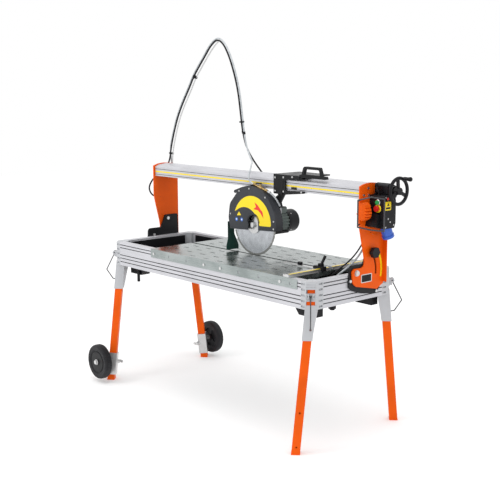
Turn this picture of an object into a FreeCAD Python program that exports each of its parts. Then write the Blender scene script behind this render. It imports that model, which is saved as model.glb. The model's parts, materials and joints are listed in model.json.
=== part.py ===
import FreeCAD, Part
import math
import os

from FreeCAD import Vector

# Bridge tile cutter on a folding stand. Millimetres. X runs along the cutting line, with the
# control side at +X; -Y is the operator's side; +Z is up. Every piece is drawn about the middle
# of the frame and moved by -ORIGIN_X, -ORIGIN_Y when written, so the origin is under the middle
# of the whole machine, on the floor.

# Frame
FRAME_HALF_X = 870.0
FRAME_HALF_Y = 311.5
FRAME_BOTTOM = 731.0
FRAME_TOP = 874.0
RAIL_DEPTH = 45.0
RAIL_WALL = 6.0
GROOVE_HEIGHTS = (23.0, 45.0, 65.0, 110.0, 128.0)
GROOVE_WIDTH = 6.0
GROOVE_DEPTH = 3.5
POST_CHAMFER = 34.0
POST_ALONG_X = 70.0
POST_ALONG_Y = 89.5
POST_INNER_X = 828.0
POST_INNER_Y = 250.0
FIN_SLOTS = 5
FIN_SLOT_HEIGHT = 10.0

# Legs: square tubes turned 45 degrees about their own length, leaning outwards across the frame
LEG_X = 837.0
LEG_Y_AT_FRAME = 281.0
LEG_Y_AT_FLOOR = 378.0
LEG_TUBE = 44.0
LEG_WALL = 2.5
LEG_GAP = 0.5
LEG_TOP = 866.0
LEG_LOW = 8.0
LEG_LEAN = math.degrees(math.atan2(LEG_Y_AT_FLOOR - LEG_Y_AT_FRAME, FRAME_BOTTOM))
SOCKET_LOW = 578.0
SOCKET_HIGH = 755.0
SOCKET_OUTER = 53.0
SOCKET_FLARE = 24.0
LOCK_HOLE_Z = 632.0
LOCK_HOLE_R = 5.5
LEG_HOLES = (38.0, 213.0)

# Wire locks on the corner posts
LUG_Z = 803.0
LUG_RISE = 8.0
LUG_OUT = 18.0
LUG_PIN_R = 3.5
LUG_EAR = 5.0
LUG_GAP = 9.0
WIRE_R = 3.0
PIVOT_GAP = 0.05

# Wheels on the two left legs
WHEEL_R = 108.0
WHEEL_WIDTH = 50.0
WHEEL_INNER_Y = {"fl": 433.0, "rl": 416.0}
HUB_R = 70.0
AXLE_Z = 130.0
AXLE_R = 8.0
SCREW_Z = 103.0
SLEEVE_LOW = 28.0
SLEEVE_HIGH = 165.0
SLEEVE_OUTER = 56.0
HUB_NUT_REACH = 11.0

# Tank and table
TANK_HALF_X = 822.0
TANK_HALF_Y = 264.0
TANK_BOTTOM = 715.0
TANK_RIM = 862.0
TANK_CORNER_RIM = 806.0
TANK_WALL = 4.0
TANK_CORNER = 50.0
TABLE_LEFT = -468.0
TABLE_RIGHT = 720.0
TABLE_TOP = 877.0
SHEET = 3.0
CUT_SLOT_HALF = 9.0
TABLE_SLOT_PITCH = 121.0
TABLE_SLOT_FIRST = -353.0
TABLE_SLOT_COLUMNS = 9
TABLE_SLOT_ROWS = (62.0, 134.0, 206.0, 278.0)
TABLE_SLOT_LENGTH = 46.0
TABLE_SLOT_WIDTH = 9.0
STRIP_RIGHT = 776.0
STRIP_LOW = 826.0
STRIP_SCREWS = (-437.0, 36.0, 179.0, 652.0)
STRIP_HOLES = (-289.0, -123.0, 328.0, 489.0, 725.0)

# End fence and angle guide on the table
FENCE_X = 692.0
FENCE_WIDTH = 40.0
FENCE_HEIGHT = 14.0
FENCE_NOTCH = 12.0
STOP_Y = -67.0
GUIDE_Y = -47.0

# Tilting bridge
TILT_Z = 883.0
PLATE_INNER = 881.0
PLATE_THICK = 8.0
COLUMN_FRONT = 16.0
COLUMN_REAR = 207.0
BRACKET_INNER = 870.0
BRACKET_OUTER = 880.0
PIVOT_R = 8.0
STUD_ARC_R = 148.0
STUD_ANGLE = 41.0
STUD_R = 6.0
ARC_LOW = -6.0
ARC_HIGH = 43.0
ARC_WIDTH = 14.0
BEAM_FRONT = 28.0
BEAM_REAR = 200.0
BEAM_BOTTOM = 1261.0
BEAM_WALL = 5.0

# Carriage and cutting head
CARRIAGE_LEFT = 250.0
CARRIAGE_RIGHT = 430.0
CARRIAGE_FRONT = 14.0
CARRIAGE_THICK = 10.0
HEAD_PIVOT_X = 317.0
HEAD_PIVOT_Z = 1248.0
HEAD_PIVOT_R = 5.0
SPINDLE_X = 108.0
SPINDLE_Z = 1051.0
BLADE_R = 175.0
BLADE_THICK = 2.4
BLADE_TEETH = 24
GUARD_FRONT = -32.0
GUARD_REAR = 22.0
GUARD_WALL = 3.0
GUARD_OUTLINE = [(-70, 1013), (-84, 1078, 40), (-72, 1160, 60), (16, 1254, 60), (108, 1275, 120),
                 (200, 1256, 120), (262, 1203, 150), (303, 1143, 120), (320, 1080, 80), (312, 1036)]
MOTOR_R = 64.0
MOTOR_FINS = 20
MOTOR_START = 38.0
MOTOR_COVER = 228.0
MOTOR_END = 302.0

# Controls and handwheel
BOX_OUTER = 990.0
BOX_FRONT = 90.0
BOX_REAR = 176.0
BOX_LOW = 1112.0
BOX_TOP = 1285.0
LEVER_Y = 103.0
LEVER_Z = 1300.0
WHEEL_HAND_X = 1020.0
WHEEL_HAND_Y = 160.0
WHEEL_HAND_Z = 1302.0
HAND_RIM_R = 66.0
HAND_TUBE_R = 9.0
GRIP_LENGTH = 52.0
GUARD_BAR_R = 4.0

# Cords
CABLE_R = 5.0
HOSE_R = 5.0
PUMP_CABLE_R = 4.0
ROD_R = 4.0
BEND_SHARE = 0.45

# The machine reaches from the left wheels to the end of the handwheel's grip, and from one hub
# nut to the other.
ORIGIN_X = (WHEEL_HAND_X + HAND_TUBE_R + 3.0 + GRIP_LENGTH - LEG_X - WHEEL_R) / 2
ORIGIN_Y = (WHEEL_INNER_Y["rl"] - WHEEL_INNER_Y["fl"]) / 2

AXIS_X = Vector(1, 0, 0)
AXIS_Y = Vector(0, 1, 0)
AXIS_Z = Vector(0, 0, 1)
NOWHERE = Vector(0, 0, 0)
CORNERS = {"fr": (1, -1), "rr": (1, 1), "fl": (-1, -1), "rl": (-1, 1)}

# Routes of the cords and of the whip that carries them
WHIP_ROUTE = [(-897, 178, 1210), (-905, 183, 1330), (-894, 184, 1420), (-859, 182, 1516),
              (-806, 176, 1626), (-736, 170, 1722), (-668, 164, 1803), (-612, 158, 1877),
              (-546, 152, 1940), (-478, 146, 2003), (-418, 140, 2056), (-362, 136, 2090)]
CABLE_ROUTE = [(-883.4, 67.2, 1121.3), (-904, 48, 1124), (-910, 18, 1134), (-911, -6, 1178),
               (-911, 14, 1222), (-911, 62, 1262), (-911, 128, 1296), (-915, 170, 1346),
               (-903, 173, 1430), (-868, 171, 1524), (-814, 165, 1634), (-745, 159, 1730),
               (-676, 153, 1812), (-620, 147, 1886), (-554, 141, 1949), (-486, 135, 2012),
               (-430, 130, 2066), (-366, 127, 2102), (-314, 128, 2078), (-268, 132, 2010),
               (-228, 138, 1910), (-203, 148, 1800), (-196, 160, 1680), (-196, 176, 1560),
               (-182, 196, 1460), (-140, 214, 1388), (-80, 226, 1322), (-22, 232, 1270),
               (24, 230, 1236), (60, 226, 1212), (86, 217, 1192), (99, 211, 1164),
               (101, 210, 1135.4)]
HOSE_ROUTE = [(-905, 190, 1236), (-909, 190, 1290), (-918, 184, 1356), (-915, 175, 1434),
              (-879, 173, 1529), (-825, 167, 1640), (-755, 161, 1738), (-686, 155, 1820),
              (-629, 149, 1894), (-563, 143, 1958), (-495, 137, 2021), (-437, 132, 2076),
              (-366, 129, 2114), (-306, 130, 2088), (-257, 134, 2016), (-216, 140, 1914),
              (-191, 150, 1802), (-184, 162, 1680), (-184, 178, 1560), (-170, 184, 1470),
              (-128, 176, 1414), (-80, 150, 1388), (-38, 110, 1382), (0, 72, 1384),
              (42, 34, 1378), (64, 4, 1352), (64, -9, 1318), (78, -8, 1292), (107, -8, 1283.3)]
HEAD_HOSE_ROUTE = [(225.5, -8, 1250.1), (248.6, -8, 1243.6), (270, 4, 1223), (287, 20, 1186),
                   (294, 31, 1154), (288, 31, 1114), (288, 31, 1070)]
PUMP_HOSE_ROUTE = [(768, -60, 790), (768, -58, 826), (786, -38, 860), (808, -4, 890),
                   (828, 34, 922), (842, 70, 962), (850, 98, 1006), (862, 112, 1046),
                   (886, 122, 1076)]
PUMP_CABLE_ROUTE = [(748, -76, 790), (748, -72, 830), (768, -50, 868), (794, -16, 900),
                    (818, 20, 934), (836, 54, 974), (848, 80, 1016), (862, 92, 1056),
                    (888, 102, 1086)]


def box(x, y, z):
    """A box from three (low, high) pairs."""
    return Part.makeBox(x[1] - x[0], y[1] - y[0], z[1] - z[0], Vector(x[0], y[0], z[0]))


def rod(radius, start, direction, length):
    return Part.makeCylinder(radius, length, Vector(*start), direction)


def ring(outer, inner, start, direction, length):
    return rod(outer, start, direction, length).cut(rod(inner, start, direction, length))


def join(first, *rest):
    return first.fuse(list(rest)).removeSplitter() if rest else first


def loop(corners, lift):
    """A closed wire through corners (a, b[, radius]), rounded where a radius is given."""
    ends = []
    for i, corner in enumerate(corners):
        here = Vector(corner[0], corner[1], 0)
        if len(corner) < 3:
            ends.append((here, None, here))
            continue
        back = Vector(*corners[i - 1][:2], 0) - here
        ahead = Vector(*corners[(i + 1) % len(corners)][:2], 0) - here
        back.normalize()
        ahead.normalize()
        half = math.acos(max(-1.0, min(1.0, back.dot(ahead)))) / 2
        reach = corner[2] / math.tan(half)
        middle = (back + ahead).normalize() * (corner[2] / math.sin(half) - corner[2])
        ends.append((here + back * reach, here + middle, here + ahead * reach))
    edges = []
    for i, (start, middle, end) in enumerate(ends):
        if middle is not None:
            edges.append(Part.Arc(lift(start), lift(middle), lift(end)).toShape())
        following = ends[(i + 1) % len(ends)][0]
        if (following - end).Length > 1e-6:
            edges.append(Part.LineSegment(lift(end), lift(following)).toShape())
    return Part.Wire(edges)


def slab(corners, lift, push, holes=()):
    """A flat plate: the face inside the corners, less the holes, pushed along a vector."""
    wires = [loop(outline, lift) for outline in [corners, *holes]]
    face = Part.makeFace(wires, "Part::FaceMakerBullseye")
    return face.extrude(push)


def slab_x(corners, x0, x1, holes=()):
    return slab(corners, lambda p: Vector(x0, p.x, p.y), AXIS_X * (x1 - x0), holes)


def slab_y(corners, y0, y1, holes=()):
    return slab(corners, lambda p: Vector(p.x, y0, p.y), AXIS_Y * (y1 - y0), holes)


def slab_z(corners, z0, z1, holes=()):
    return slab(corners, lambda p: Vector(p.x, p.y, z0), AXIS_Z * (z1 - z0), holes)


def mirrored(shape, x_sign, y_sign):
    """The shape, drawn for +X -Y, moved to the corner with those signs."""
    if x_sign < 0:
        shape = shape.mirror(NOWHERE, AXIS_X)
    if y_sign > 0:
        shape = shape.mirror(NOWHERE, AXIS_Y)
    return shape


def bends(points):
    """The radius of the arc at each inner point of a route."""
    radii = []
    for before, here, after in zip(points, points[1:], points[2:]):
        first, second = here - before, after - here
        turn = first.getAngle(second)
        shorter = min(first.Length, second.Length)
        radii.append(BEND_SHARE * shorter / math.tan(turn / 2))
    return radii


def tube(name, route, radius):
    """A round tube along a route of straight runs joined by tangent arcs."""
    points = [Vector(*p) for p in route]
    radii = bends(points)
    edges = []
    start = points[0]
    for (before, here, after), bend in zip(zip(points, points[1:], points[2:]), radii):
        back = (before - here).normalize()
        ahead = (after - here).normalize()
        half = back.getAngle(ahead) / 2
        reach = bend / math.tan(half)
        middle = here + (back + ahead).normalize() * (bend / math.sin(half) - bend)
        leave, meet = here + back * reach, here + ahead * reach
        edges.append(Part.LineSegment(start, leave).toShape())
        edges.append(Part.Arc(leave, middle, meet).toShape())
        start = meet
    edges.append(Part.LineSegment(start, points[-1]).toShape())
    path = Part.Wire(edges)
    section = Part.Wire(Part.makeCircle(radius, points[0], points[1] - points[0]))
    solid = path.makePipeShell([section], True, False)
    if solid.Volume < 0:
        solid.reverse()
    expected = math.pi * radius ** 2 * path.Length
    print(f"{name}: length {path.Length:.0f} mm, smallest bend {min(radii):.0f} mm, "
          f"volume {solid.Volume / expected:.3f} of section x length")
    return solid


def leg_y(z):
    """How far the leg's axis is from the middle line of the frame at height z."""
    lean = (LEG_Y_AT_FLOOR - LEG_Y_AT_FRAME) / FRAME_BOTTOM
    return LEG_Y_AT_FRAME + (FRAME_BOTTOM - z) * lean


def on_leg(shape):
    """Moves a shape drawn about the Z axis, with heights from the floor, onto the leg's axis."""
    shape.translate(Vector(0, 0, -FRAME_BOTTOM))
    shape.rotate(NOWHERE, AXIS_X, -LEG_LEAN)
    shape.translate(Vector(LEG_X, -LEG_Y_AT_FRAME, FRAME_BOTTOM))
    return shape


def diamond(side, low, high):
    """A square bar about the Z axis, turned 45 degrees."""
    bar = box((-side / 2, side / 2), (-side / 2, side / 2), (low, high))
    bar.rotate(NOWHERE, AXIS_Z, 45)
    return bar


def corner_point(out, along, z):
    """A point at the +X -Y corner: out from the post's face, along it, and at height z."""
    face = (2 * (FRAME_HALF_X + FRAME_HALF_Y) - 2 * POST_CHAMFER) / 2
    middle_x = FRAME_HALF_X - POST_CHAMFER / 2
    middle_y = face - middle_x
    share = math.sqrt(0.5)
    return Vector(middle_x + (out + along) * share, -middle_y - (out - along) * share, z)


OUTWARD = Vector(1, -1, 0).normalize()
SIDEWAYS = Vector(1, 1, 0).normalize()


# ---------------------------------------------------------------- frame

def rail_section(outer, sign):
    """The rail's hollow section as (across, height) corners, its grooved face at outer."""
    corners = [(outer - sign * RAIL_DEPTH, FRAME_BOTTOM), (outer, FRAME_BOTTOM)]
    for height in GROOVE_HEIGHTS:
        low = FRAME_BOTTOM + height - GROOVE_WIDTH / 2
        deep = outer - sign * GROOVE_DEPTH
        corners += [(outer, low), (deep, low + 1.5),
                    (deep, low + GROOVE_WIDTH - 1.5), (outer, low + GROOVE_WIDTH)]
    corners += [(outer, FRAME_TOP - 2), (outer - sign * 2, FRAME_TOP),
                (outer - sign * RAIL_DEPTH, FRAME_TOP)]
    inside = (outer - sign * (RAIL_WALL + 1), outer - sign * (RAIL_DEPTH - RAIL_WALL))
    heights = (FRAME_BOTTOM + RAIL_WALL, FRAME_TOP - RAIL_WALL)
    hollow = [(inside[0], heights[0]), (inside[1], heights[0]),
              (inside[1], heights[1]), (inside[0], heights[1])]
    return corners, [hollow]


def frame_rails():
    long_half = FRAME_HALF_X - POST_ALONG_X
    short_half = FRAME_HALF_Y - POST_ALONG_Y
    rails = []
    for sign in (-1, 1):
        corners, holes = rail_section(sign * FRAME_HALF_Y, sign)
        rails.append(slab_x(corners, -long_half, long_half, holes))
        corners, holes = rail_section(sign * FRAME_HALF_X, sign)
        rails.append(slab_y(corners, -short_half, short_half, holes))
    return rails


def corner_post():
    x_out, y_out = FRAME_HALF_X, -FRAME_HALF_Y
    outline = [(x_out, y_out + POST_ALONG_Y), (x_out, y_out + POST_CHAMFER),
               (x_out - POST_CHAMFER, y_out), (x_out - POST_ALONG_X, y_out),
               (x_out - POST_ALONG_X, -POST_INNER_Y), (POST_INNER_X, y_out + POST_ALONG_Y)]
    post = slab_z(outline, FRAME_BOTTOM, FRAME_TOP)
    reach = SOCKET_OUTER * math.sqrt(0.5)
    sections = []
    for z, flare in ((SOCKET_LOW, 0.0), (SOCKET_HIGH, SOCKET_FLARE)):
        y = -leg_y(z)
        ring_points = [Vector(LEG_X + reach, y, z), Vector(LEG_X, y + reach + flare, z),
                       Vector(LEG_X - reach, y, z), Vector(LEG_X, y - reach, z)]
        sections.append(Part.makePolygon(ring_points + ring_points[:1]))
    socket = Part.makeLoft(sections, True, True)
    post = post.fuse(socket)
    cuts = [on_leg(diamond(LEG_TUBE + 2 * LEG_GAP, SOCKET_LOW - 40, LEG_TOP + 1))]
    for low, high in ((SOCKET_HIGH, 775.0), (815.0, 834.0)):
        window = Part.makeBox(44, 60, high - low, Vector(-22, -30, 0))
        window.rotate(NOWHERE, AXIS_Z, 45)
        window.translate(corner_point(14, 0, low))
        cuts.append(window)
    for z in (845.0, 857.0):
        groove = Part.makeBox(70, 6, 3, Vector(-35, -3, 0))
        groove.rotate(NOWHERE, AXIS_Z, 45)
        groove.translate(corner_point(1, 0, z))
        cuts.append(groove)
    pitch = (FRAME_TOP - FRAME_BOTTOM) / FIN_SLOTS
    for i in range(FIN_SLOTS):
        z = FRAME_BOTTOM + pitch * (i + 0.5)
        heights = (z - FIN_SLOT_HEIGHT / 2, z + FIN_SLOT_HEIGHT / 2)
        cuts.append(box((803, 829), (y_out - 1, y_out + 5), heights))
        cuts.append(box((x_out - 7, x_out + 1), (y_out + 57, y_out + 84), heights))
    hole = Part.makeCylinder(LOCK_HOLE_R, 60, corner_point(-20, 0, LOCK_HOLE_Z), OUTWARD)
    cuts.append(hole)
    return post.cut(cuts)


def wire_lug():
    """Two ears on a plate, screwed to the post's face, that hold the wire lock's pivot."""
    plate = Part.makeBox(40, 46, 4, Vector(-20, -23, 0))
    ears = []
    for side in (-1, 1):
        near = min(side * LUG_GAP, side * (LUG_GAP + LUG_EAR))
        ears.append(Part.makeBox(34, LUG_EAR, LUG_OUT, Vector(-17, near, 0)))
        ears.append(Part.makeCylinder(12, LUG_EAR, Vector(-LUG_RISE, near, LUG_OUT), AXIS_Y))
    bore = Part.makeCylinder(LUG_PIN_R + PIVOT_GAP, 60, Vector(-LUG_RISE, -30, LUG_OUT), AXIS_Y)
    lug = join(plate, *ears).cut(bore)
    lug.Placement = FreeCAD.Placement(corner_point(0, 0, LUG_Z - LUG_RISE),
                                      FreeCAD.Rotation(Vector(0, 0, -1), SIDEWAYS, OUTWARD, "ZYX"))
    return lug


def corner_sockets():
    post = corner_post()
    lug = wire_lug()
    return [mirrored(piece, *signs) for signs in CORNERS.values() for piece in (post, lug)]


# ---------------------------------------------------------------- tank, table, fences

def tank_outline(inset):
    x, y = TANK_HALF_X - inset, TANK_HALF_Y - inset
    cut = TANK_CORNER - 0.6 * inset
    return [(x, -y + cut), (x, y - cut), (x - cut, y), (-x + cut, y),
            (-x, y - cut), (-x, -y + cut), (-x + cut, -y), (x - cut, -y)]


def water_tank():
    """The floor and eight walls of the tank, lower at the corners to clear the posts."""
    outer = [Vector(x, y, 0) for x, y in tank_outline(0)]
    inner = [Vector(x, y, 0) for x, y in tank_outline(TANK_WALL)]
    drain = rod(12, (800, -84, TANK_BOTTOM - 1), AXIS_Z, 10)
    pieces = [slab_z(tank_outline(0), TANK_BOTTOM, TANK_BOTTOM + TANK_WALL).cut(drain)]
    for i in range(len(outer)):
        ends = [outer[i], outer[(i + 1) % 8], inner[(i + 1) % 8], inner[i]]
        slanted = abs(ends[0].x - ends[1].x) > 1 and abs(ends[0].y - ends[1].y) > 1
        top = TANK_CORNER_RIM if slanted else TANK_RIM
        pieces.append(slab_z([(p.x, p.y) for p in ends], TANK_BOTTOM + TANK_WALL, top))
    return pieces


def tank_fittings():
    """Four slant-ended stacking blocks, the drain plug and the overflow pipe under the tank."""
    pieces = []
    for x_sign in (-1, 1):
        for y0, y1 in ((-226, -164), (205, 255)):
            outline = [(700, 670), (812, 670), (812, 715), (664, 715)]
            block = slab_y(outline, y0, y1)
            pieces.append(mirrored(block, x_sign, -1))
    plug = join(rod(20, (800, -84, 697), AXIS_Z, 18), rod(13, (800, -84, 690), AXIS_Z, 8),
                rod(11.5, (800, -84, 714), AXIS_Z, 8))
    pieces.append(plug)
    pieces.append(ring(9, 7, (-715, -235, 629), AXIS_Z, 86))
    return pieces


def slot_outline(x, y):
    """A slot with round ends, along X."""
    half, radius = TABLE_SLOT_LENGTH / 2, TABLE_SLOT_WIDTH / 2 - 0.01
    return [(x - half, y - TABLE_SLOT_WIDTH / 2, radius), (x + half, y - TABLE_SLOT_WIDTH / 2, radius),
            (x + half, y + TABLE_SLOT_WIDTH / 2, radius), (x - half, y + TABLE_SLOT_WIDTH / 2, radius)]


def table_plates():
    columns = [TABLE_SLOT_FIRST + TABLE_SLOT_PITCH * i for i in range(TABLE_SLOT_COLUMNS)]
    under = TABLE_TOP - SHEET
    edge = FRAME_HALF_Y
    plates = []
    for y0, y1, sign in ((-edge, -CUT_SLOT_HALF, -1), (CUT_SLOT_HALF, edge, 1)):
        holes = [slot_outline(x, sign * y) for x in columns for y in TABLE_SLOT_ROWS]
        outline = [(TABLE_LEFT, y0), (TABLE_RIGHT, y0), (TABLE_RIGHT, y1), (TABLE_LEFT, y1)]
        top = slab_z(outline, under, TABLE_TOP, holes)
        lip_y = (y0, y0 + SHEET) if y0 > 0 else (y1 - SHEET, y1)
        lip = box((TABLE_LEFT, TABLE_RIGHT), lip_y, (under - 22, under))
        inner = (max(y0, -258), min(y1, 258))
        ends = [box((x, x + SHEET), inner, (under - 22, under))
                for x in (TABLE_LEFT, 120.0, TABLE_RIGHT - SHEET)]
        plates += [top, lip, *ends]
    strip = box((TABLE_LEFT, STRIP_RIGHT), (-edge - SHEET, -edge), (STRIP_LOW, TABLE_TOP))
    holes = [box((x - 5, x + 5), (-edge - SHEET - 1, -edge + 1), (843, 855)) for x in STRIP_HOLES]
    screws = [rod(4.2, (x, -edge - SHEET - 1, 849), AXIS_Y, SHEET + 2) for x in STRIP_SCREWS]
    return plates + [strip.cut(holes + screws)]


def end_fence():
    """The fence across the table's right end, split at the cut, and the angle guide."""
    x = (FENCE_X - FENCE_WIDTH / 2, FENCE_X + FENCE_WIDTH / 2)
    z = (TABLE_TOP, TABLE_TOP + FENCE_HEIGHT)
    pieces = []
    for y in ((-FRAME_HALF_Y, -FENCE_NOTCH), (FENCE_NOTCH, 300.0)):
        bar = box(x, y, z)
        groove = box((FENCE_X - 14, FENCE_X - 8), (y[0] - 1, y[1] + 1), (z[1] - 3, z[1] + 1))
        pieces.append(bar.cut(groove))
    guide = box((400, 640), (GUIDE_Y - 13, GUIDE_Y + 13),
                (TABLE_TOP, TABLE_TOP + 6))
    stem = rod(5.05, (525, GUIDE_Y, TABLE_TOP - 1), AXIS_Z, 10)
    pieces.append(guide.cut(stem))
    return pieces


def fence_stop():
    """A bridge over the fence bar with a round silver foot on its left."""
    z0 = TABLE_TOP + FENCE_HEIGHT
    half = FENCE_WIDTH / 2 + 0.6
    body = box((FENCE_X - half - 12, FENCE_X + half + 14), (STOP_Y - 13, STOP_Y + 13),
               (TABLE_TOP + 0.5, z0 + 12))
    gap = box((FENCE_X - half, FENCE_X + half), (STOP_Y - 14, STOP_Y + 14),
              (TABLE_TOP, z0 + 0.6))
    button = rod(12, (FENCE_X - half - 18, STOP_Y, z0 - 1), AXIS_X, 7)
    ears = [box((FENCE_X + side - 3, FENCE_X + side + 3), (STOP_Y - 9, STOP_Y + 9),
                (z0 + 11, z0 + 26)) for side in (-2, 18)]
    bore = rod(3.05, (FENCE_X - 8, STOP_Y, z0 + 19), AXIS_X, 40)
    return [join(body.cut(gap), button, *ears).cut(bore)]


def fence_lever():
    z = TABLE_TOP + FENCE_HEIGHT + 19
    pin = rod(3, (FENCE_X - 6, STOP_Y, z), AXIS_X, 28)
    cam = rod(7, (FENCE_X + 2, STOP_Y, z), AXIS_X, 12)
    arm = slab_x([(STOP_Y - 5, z - 2), (STOP_Y + 5, z - 6), (STOP_Y + 38, z + 40, 4),
                  (STOP_Y + 28, z + 46, 4)], FENCE_X + 3, FENCE_X + 13)
    return [join(pin, cam, arm)]


def guide_knob():
    top = TABLE_TOP + 6
    stem = rod(5, (525, GUIDE_Y, TABLE_TOP + 0.3), AXIS_Z, top - TABLE_TOP + 4)
    head = rod(14, (525, GUIDE_Y, top + 1), AXIS_Z, 15)
    notches = [rod(4, (525 + 16 * math.cos(a), GUIDE_Y + 16 * math.sin(a), top), AXIS_Z, 18)
               for a in (math.radians(60 * i) for i in range(6))]
    return [join(stem, head.cut(notches))]


# ---------------------------------------------------------------- tilting bridge

def stud_point(angle):
    turn = math.radians(angle)
    return STUD_ARC_R * math.cos(turn), TILT_Z + STUD_ARC_R * math.sin(turn)


def bracket_outline():
    return [(-42, 925, 20), (60, 925, 12), (92, 1003, 14), (192, 1003, 10), (200, 800, 8),
            (170, 760, 8), (134, 757), (40, 771), (-22, 792, 12), (-48, 812, 12)]


def tilt_brackets():
    plates = []
    for sign in (-1, 1):
        plate = slab_x(bracket_outline(), BRACKET_INNER, BRACKET_OUTER)
        cuts = [rod(PIVOT_R, (BRACKET_INNER - 1, 0, TILT_Z), AXIS_X, 12)]
        y, z = stud_point(STUD_ANGLE)
        cuts.append(rod(STUD_R, (BRACKET_INNER - 1, y, z), AXIS_X, 12))
        plates.append(mirrored(plate.cut(cuts), sign, -1))
    return plates


def fasteners():
    """Steel pins, studs and screws of the frame: strip screws, tilt pivots, clamp studs."""
    pieces = []
    for x in STRIP_SCREWS:
        pieces.append(join(rod(4, (x, -FRAME_HALF_Y - SHEET - 2, 849), AXIS_Y, 5),
                           rod(8, (x, -FRAME_HALF_Y - SHEET - 4, 849), AXIS_Y, 4)))
    y, z = stud_point(STUD_ANGLE)
    outer = PLATE_INNER + PLATE_THICK
    pivot = join(rod(PIVOT_R, (BRACKET_INNER, 0, TILT_Z), AXIS_X, outer + 2 - BRACKET_INNER),
                 rod(8.5, (BRACKET_INNER - 7, 0, TILT_Z), AXIS_X, 7),
                 rod(13, (outer + 0.5, 0, TILT_Z), AXIS_X, 9),
                 rod(16, (outer + 0.5, 0, TILT_Z), AXIS_X, 2))
    stud = join(rod(STUD_R, (BRACKET_INNER, y, z), AXIS_X, outer + 26 - BRACKET_INNER),
                rod(10, (BRACKET_INNER - 8, y, z), AXIS_X, 8))
    bolts = [rod(8, (BRACKET_OUTER, -39, 845), AXIS_X, 6),
             rod(8, (BRACKET_OUTER, 160, 768), AXIS_X, 6)]
    for sign in (-1, 1):
        pieces += [mirrored(piece, sign, -1) for piece in [pivot, stud] + bolts]
    return pieces


def column_outline():
    return [(COLUMN_FRONT, 1326, 6), (COLUMN_FRONT, 1130, 200), (56, 965, 60), (64, 912, 26),
            (34, 905, 8), (-16, 907, 12), (-33, 893, 10), (-31, 868), (-26, 832, 18),
            (0, 812, 18), (158, 780, 6), (COLUMN_REAR, 806, 5), (COLUMN_REAR, 1318, 6),
            (160, 1335, 60), (100, 1342, 200), (50, 1337, 60)]


def arc_slot():
    """The curved slot, about the tilt pivot, that the clamp stud runs in."""
    half = ARC_WIDTH / 2
    band = ring(STUD_ARC_R + half, STUD_ARC_R - half, (PLATE_INNER - 1, 0, TILT_Z), AXIS_X,
                PLATE_THICK + 2)
    far = 2 * STUD_ARC_R
    wedge = [(0, TILT_Z)]
    for angle in (ARC_LOW, (ARC_LOW + ARC_HIGH) / 2, ARC_HIGH):
        turn = math.radians(angle)
        wedge.append((far * math.cos(turn), TILT_Z + far * math.sin(turn)))
    sector = slab_x(wedge, PLATE_INNER - 1, PLATE_INNER + PLATE_THICK + 1)
    slot = band.common(sector)
    for angle in (ARC_LOW, ARC_HIGH):
        turn = math.radians(angle)
        end = (PLATE_INNER - 1, STUD_ARC_R * math.cos(turn), TILT_Z + STUD_ARC_R * math.sin(turn))
        slot = slot.fuse(rod(half, end, AXIS_X, PLATE_THICK + 2))
    return slot


def column(sign):
    outer = PLATE_INNER + PLATE_THICK
    plate = slab_x(column_outline(), PLATE_INNER, outer)
    rear = box((outer - 1, outer + 24), (COLUMN_REAR - 6, COLUMN_REAR), (815, 1300))
    cuts = [arc_slot(), rod(PIVOT_R + PIVOT_GAP, (PLATE_INNER - 1, 0, TILT_Z), AXIS_X, 12)]
    shape = join(plate, rear).cut(cuts)
    return [mirrored(shape, sign, -1)]


def beam_outline(inset):
    low, front, rear = BEAM_BOTTOM + inset, BEAM_FRONT + inset, BEAM_REAR - inset
    return [(front, low), (front, 1320 - inset, 3), (52, 1331 - inset, 20),
            (110, 1338 - inset, 160), (168, 1333 - inset, 30), (rear, 1318 - inset, 3),
            (rear, low)]


def beam():
    body = slab_x(beam_outline(0), -PLATE_INNER, PLATE_INNER, [beam_outline(BEAM_WALL)])
    cuts = []
    for z in (1270.0, 1304.0):
        cuts.append(box((-900, 900), (BEAM_FRONT - 1, BEAM_FRONT + 2), (z, z + 3)))
    cuts.append(box((-900, 900), (BEAM_FRONT - 1, BEAM_FRONT + 0.8), (1285, 1293)))
    return [body.cut(cuts)]


def drive_belt():
    """The toothed belt that the handwheel pulls round inside the beam."""
    def stadium(radius):
        z = 1295
        return [(-840 - radius, z - radius, radius - 0.01), (840 + radius, z - radius, radius - 0.01),
                (840 + radius, z + radius, radius - 0.01), (-840 - radius, z + radius, radius - 0.01)]
    return [slab_y(stadium(16.0), 142, 158, [stadium(13.5)])]


def column_bolts():
    outer = PLATE_INNER + PLATE_THICK
    pieces = []
    for sign in (-1, 1):
        for y, z in ((41, 1280), (79, 1279), (74, 1314)):
            pieces.append(mirrored(rod(6.5, (outer, y, z), AXIS_X, 6), sign, -1))
    return pieces


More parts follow.
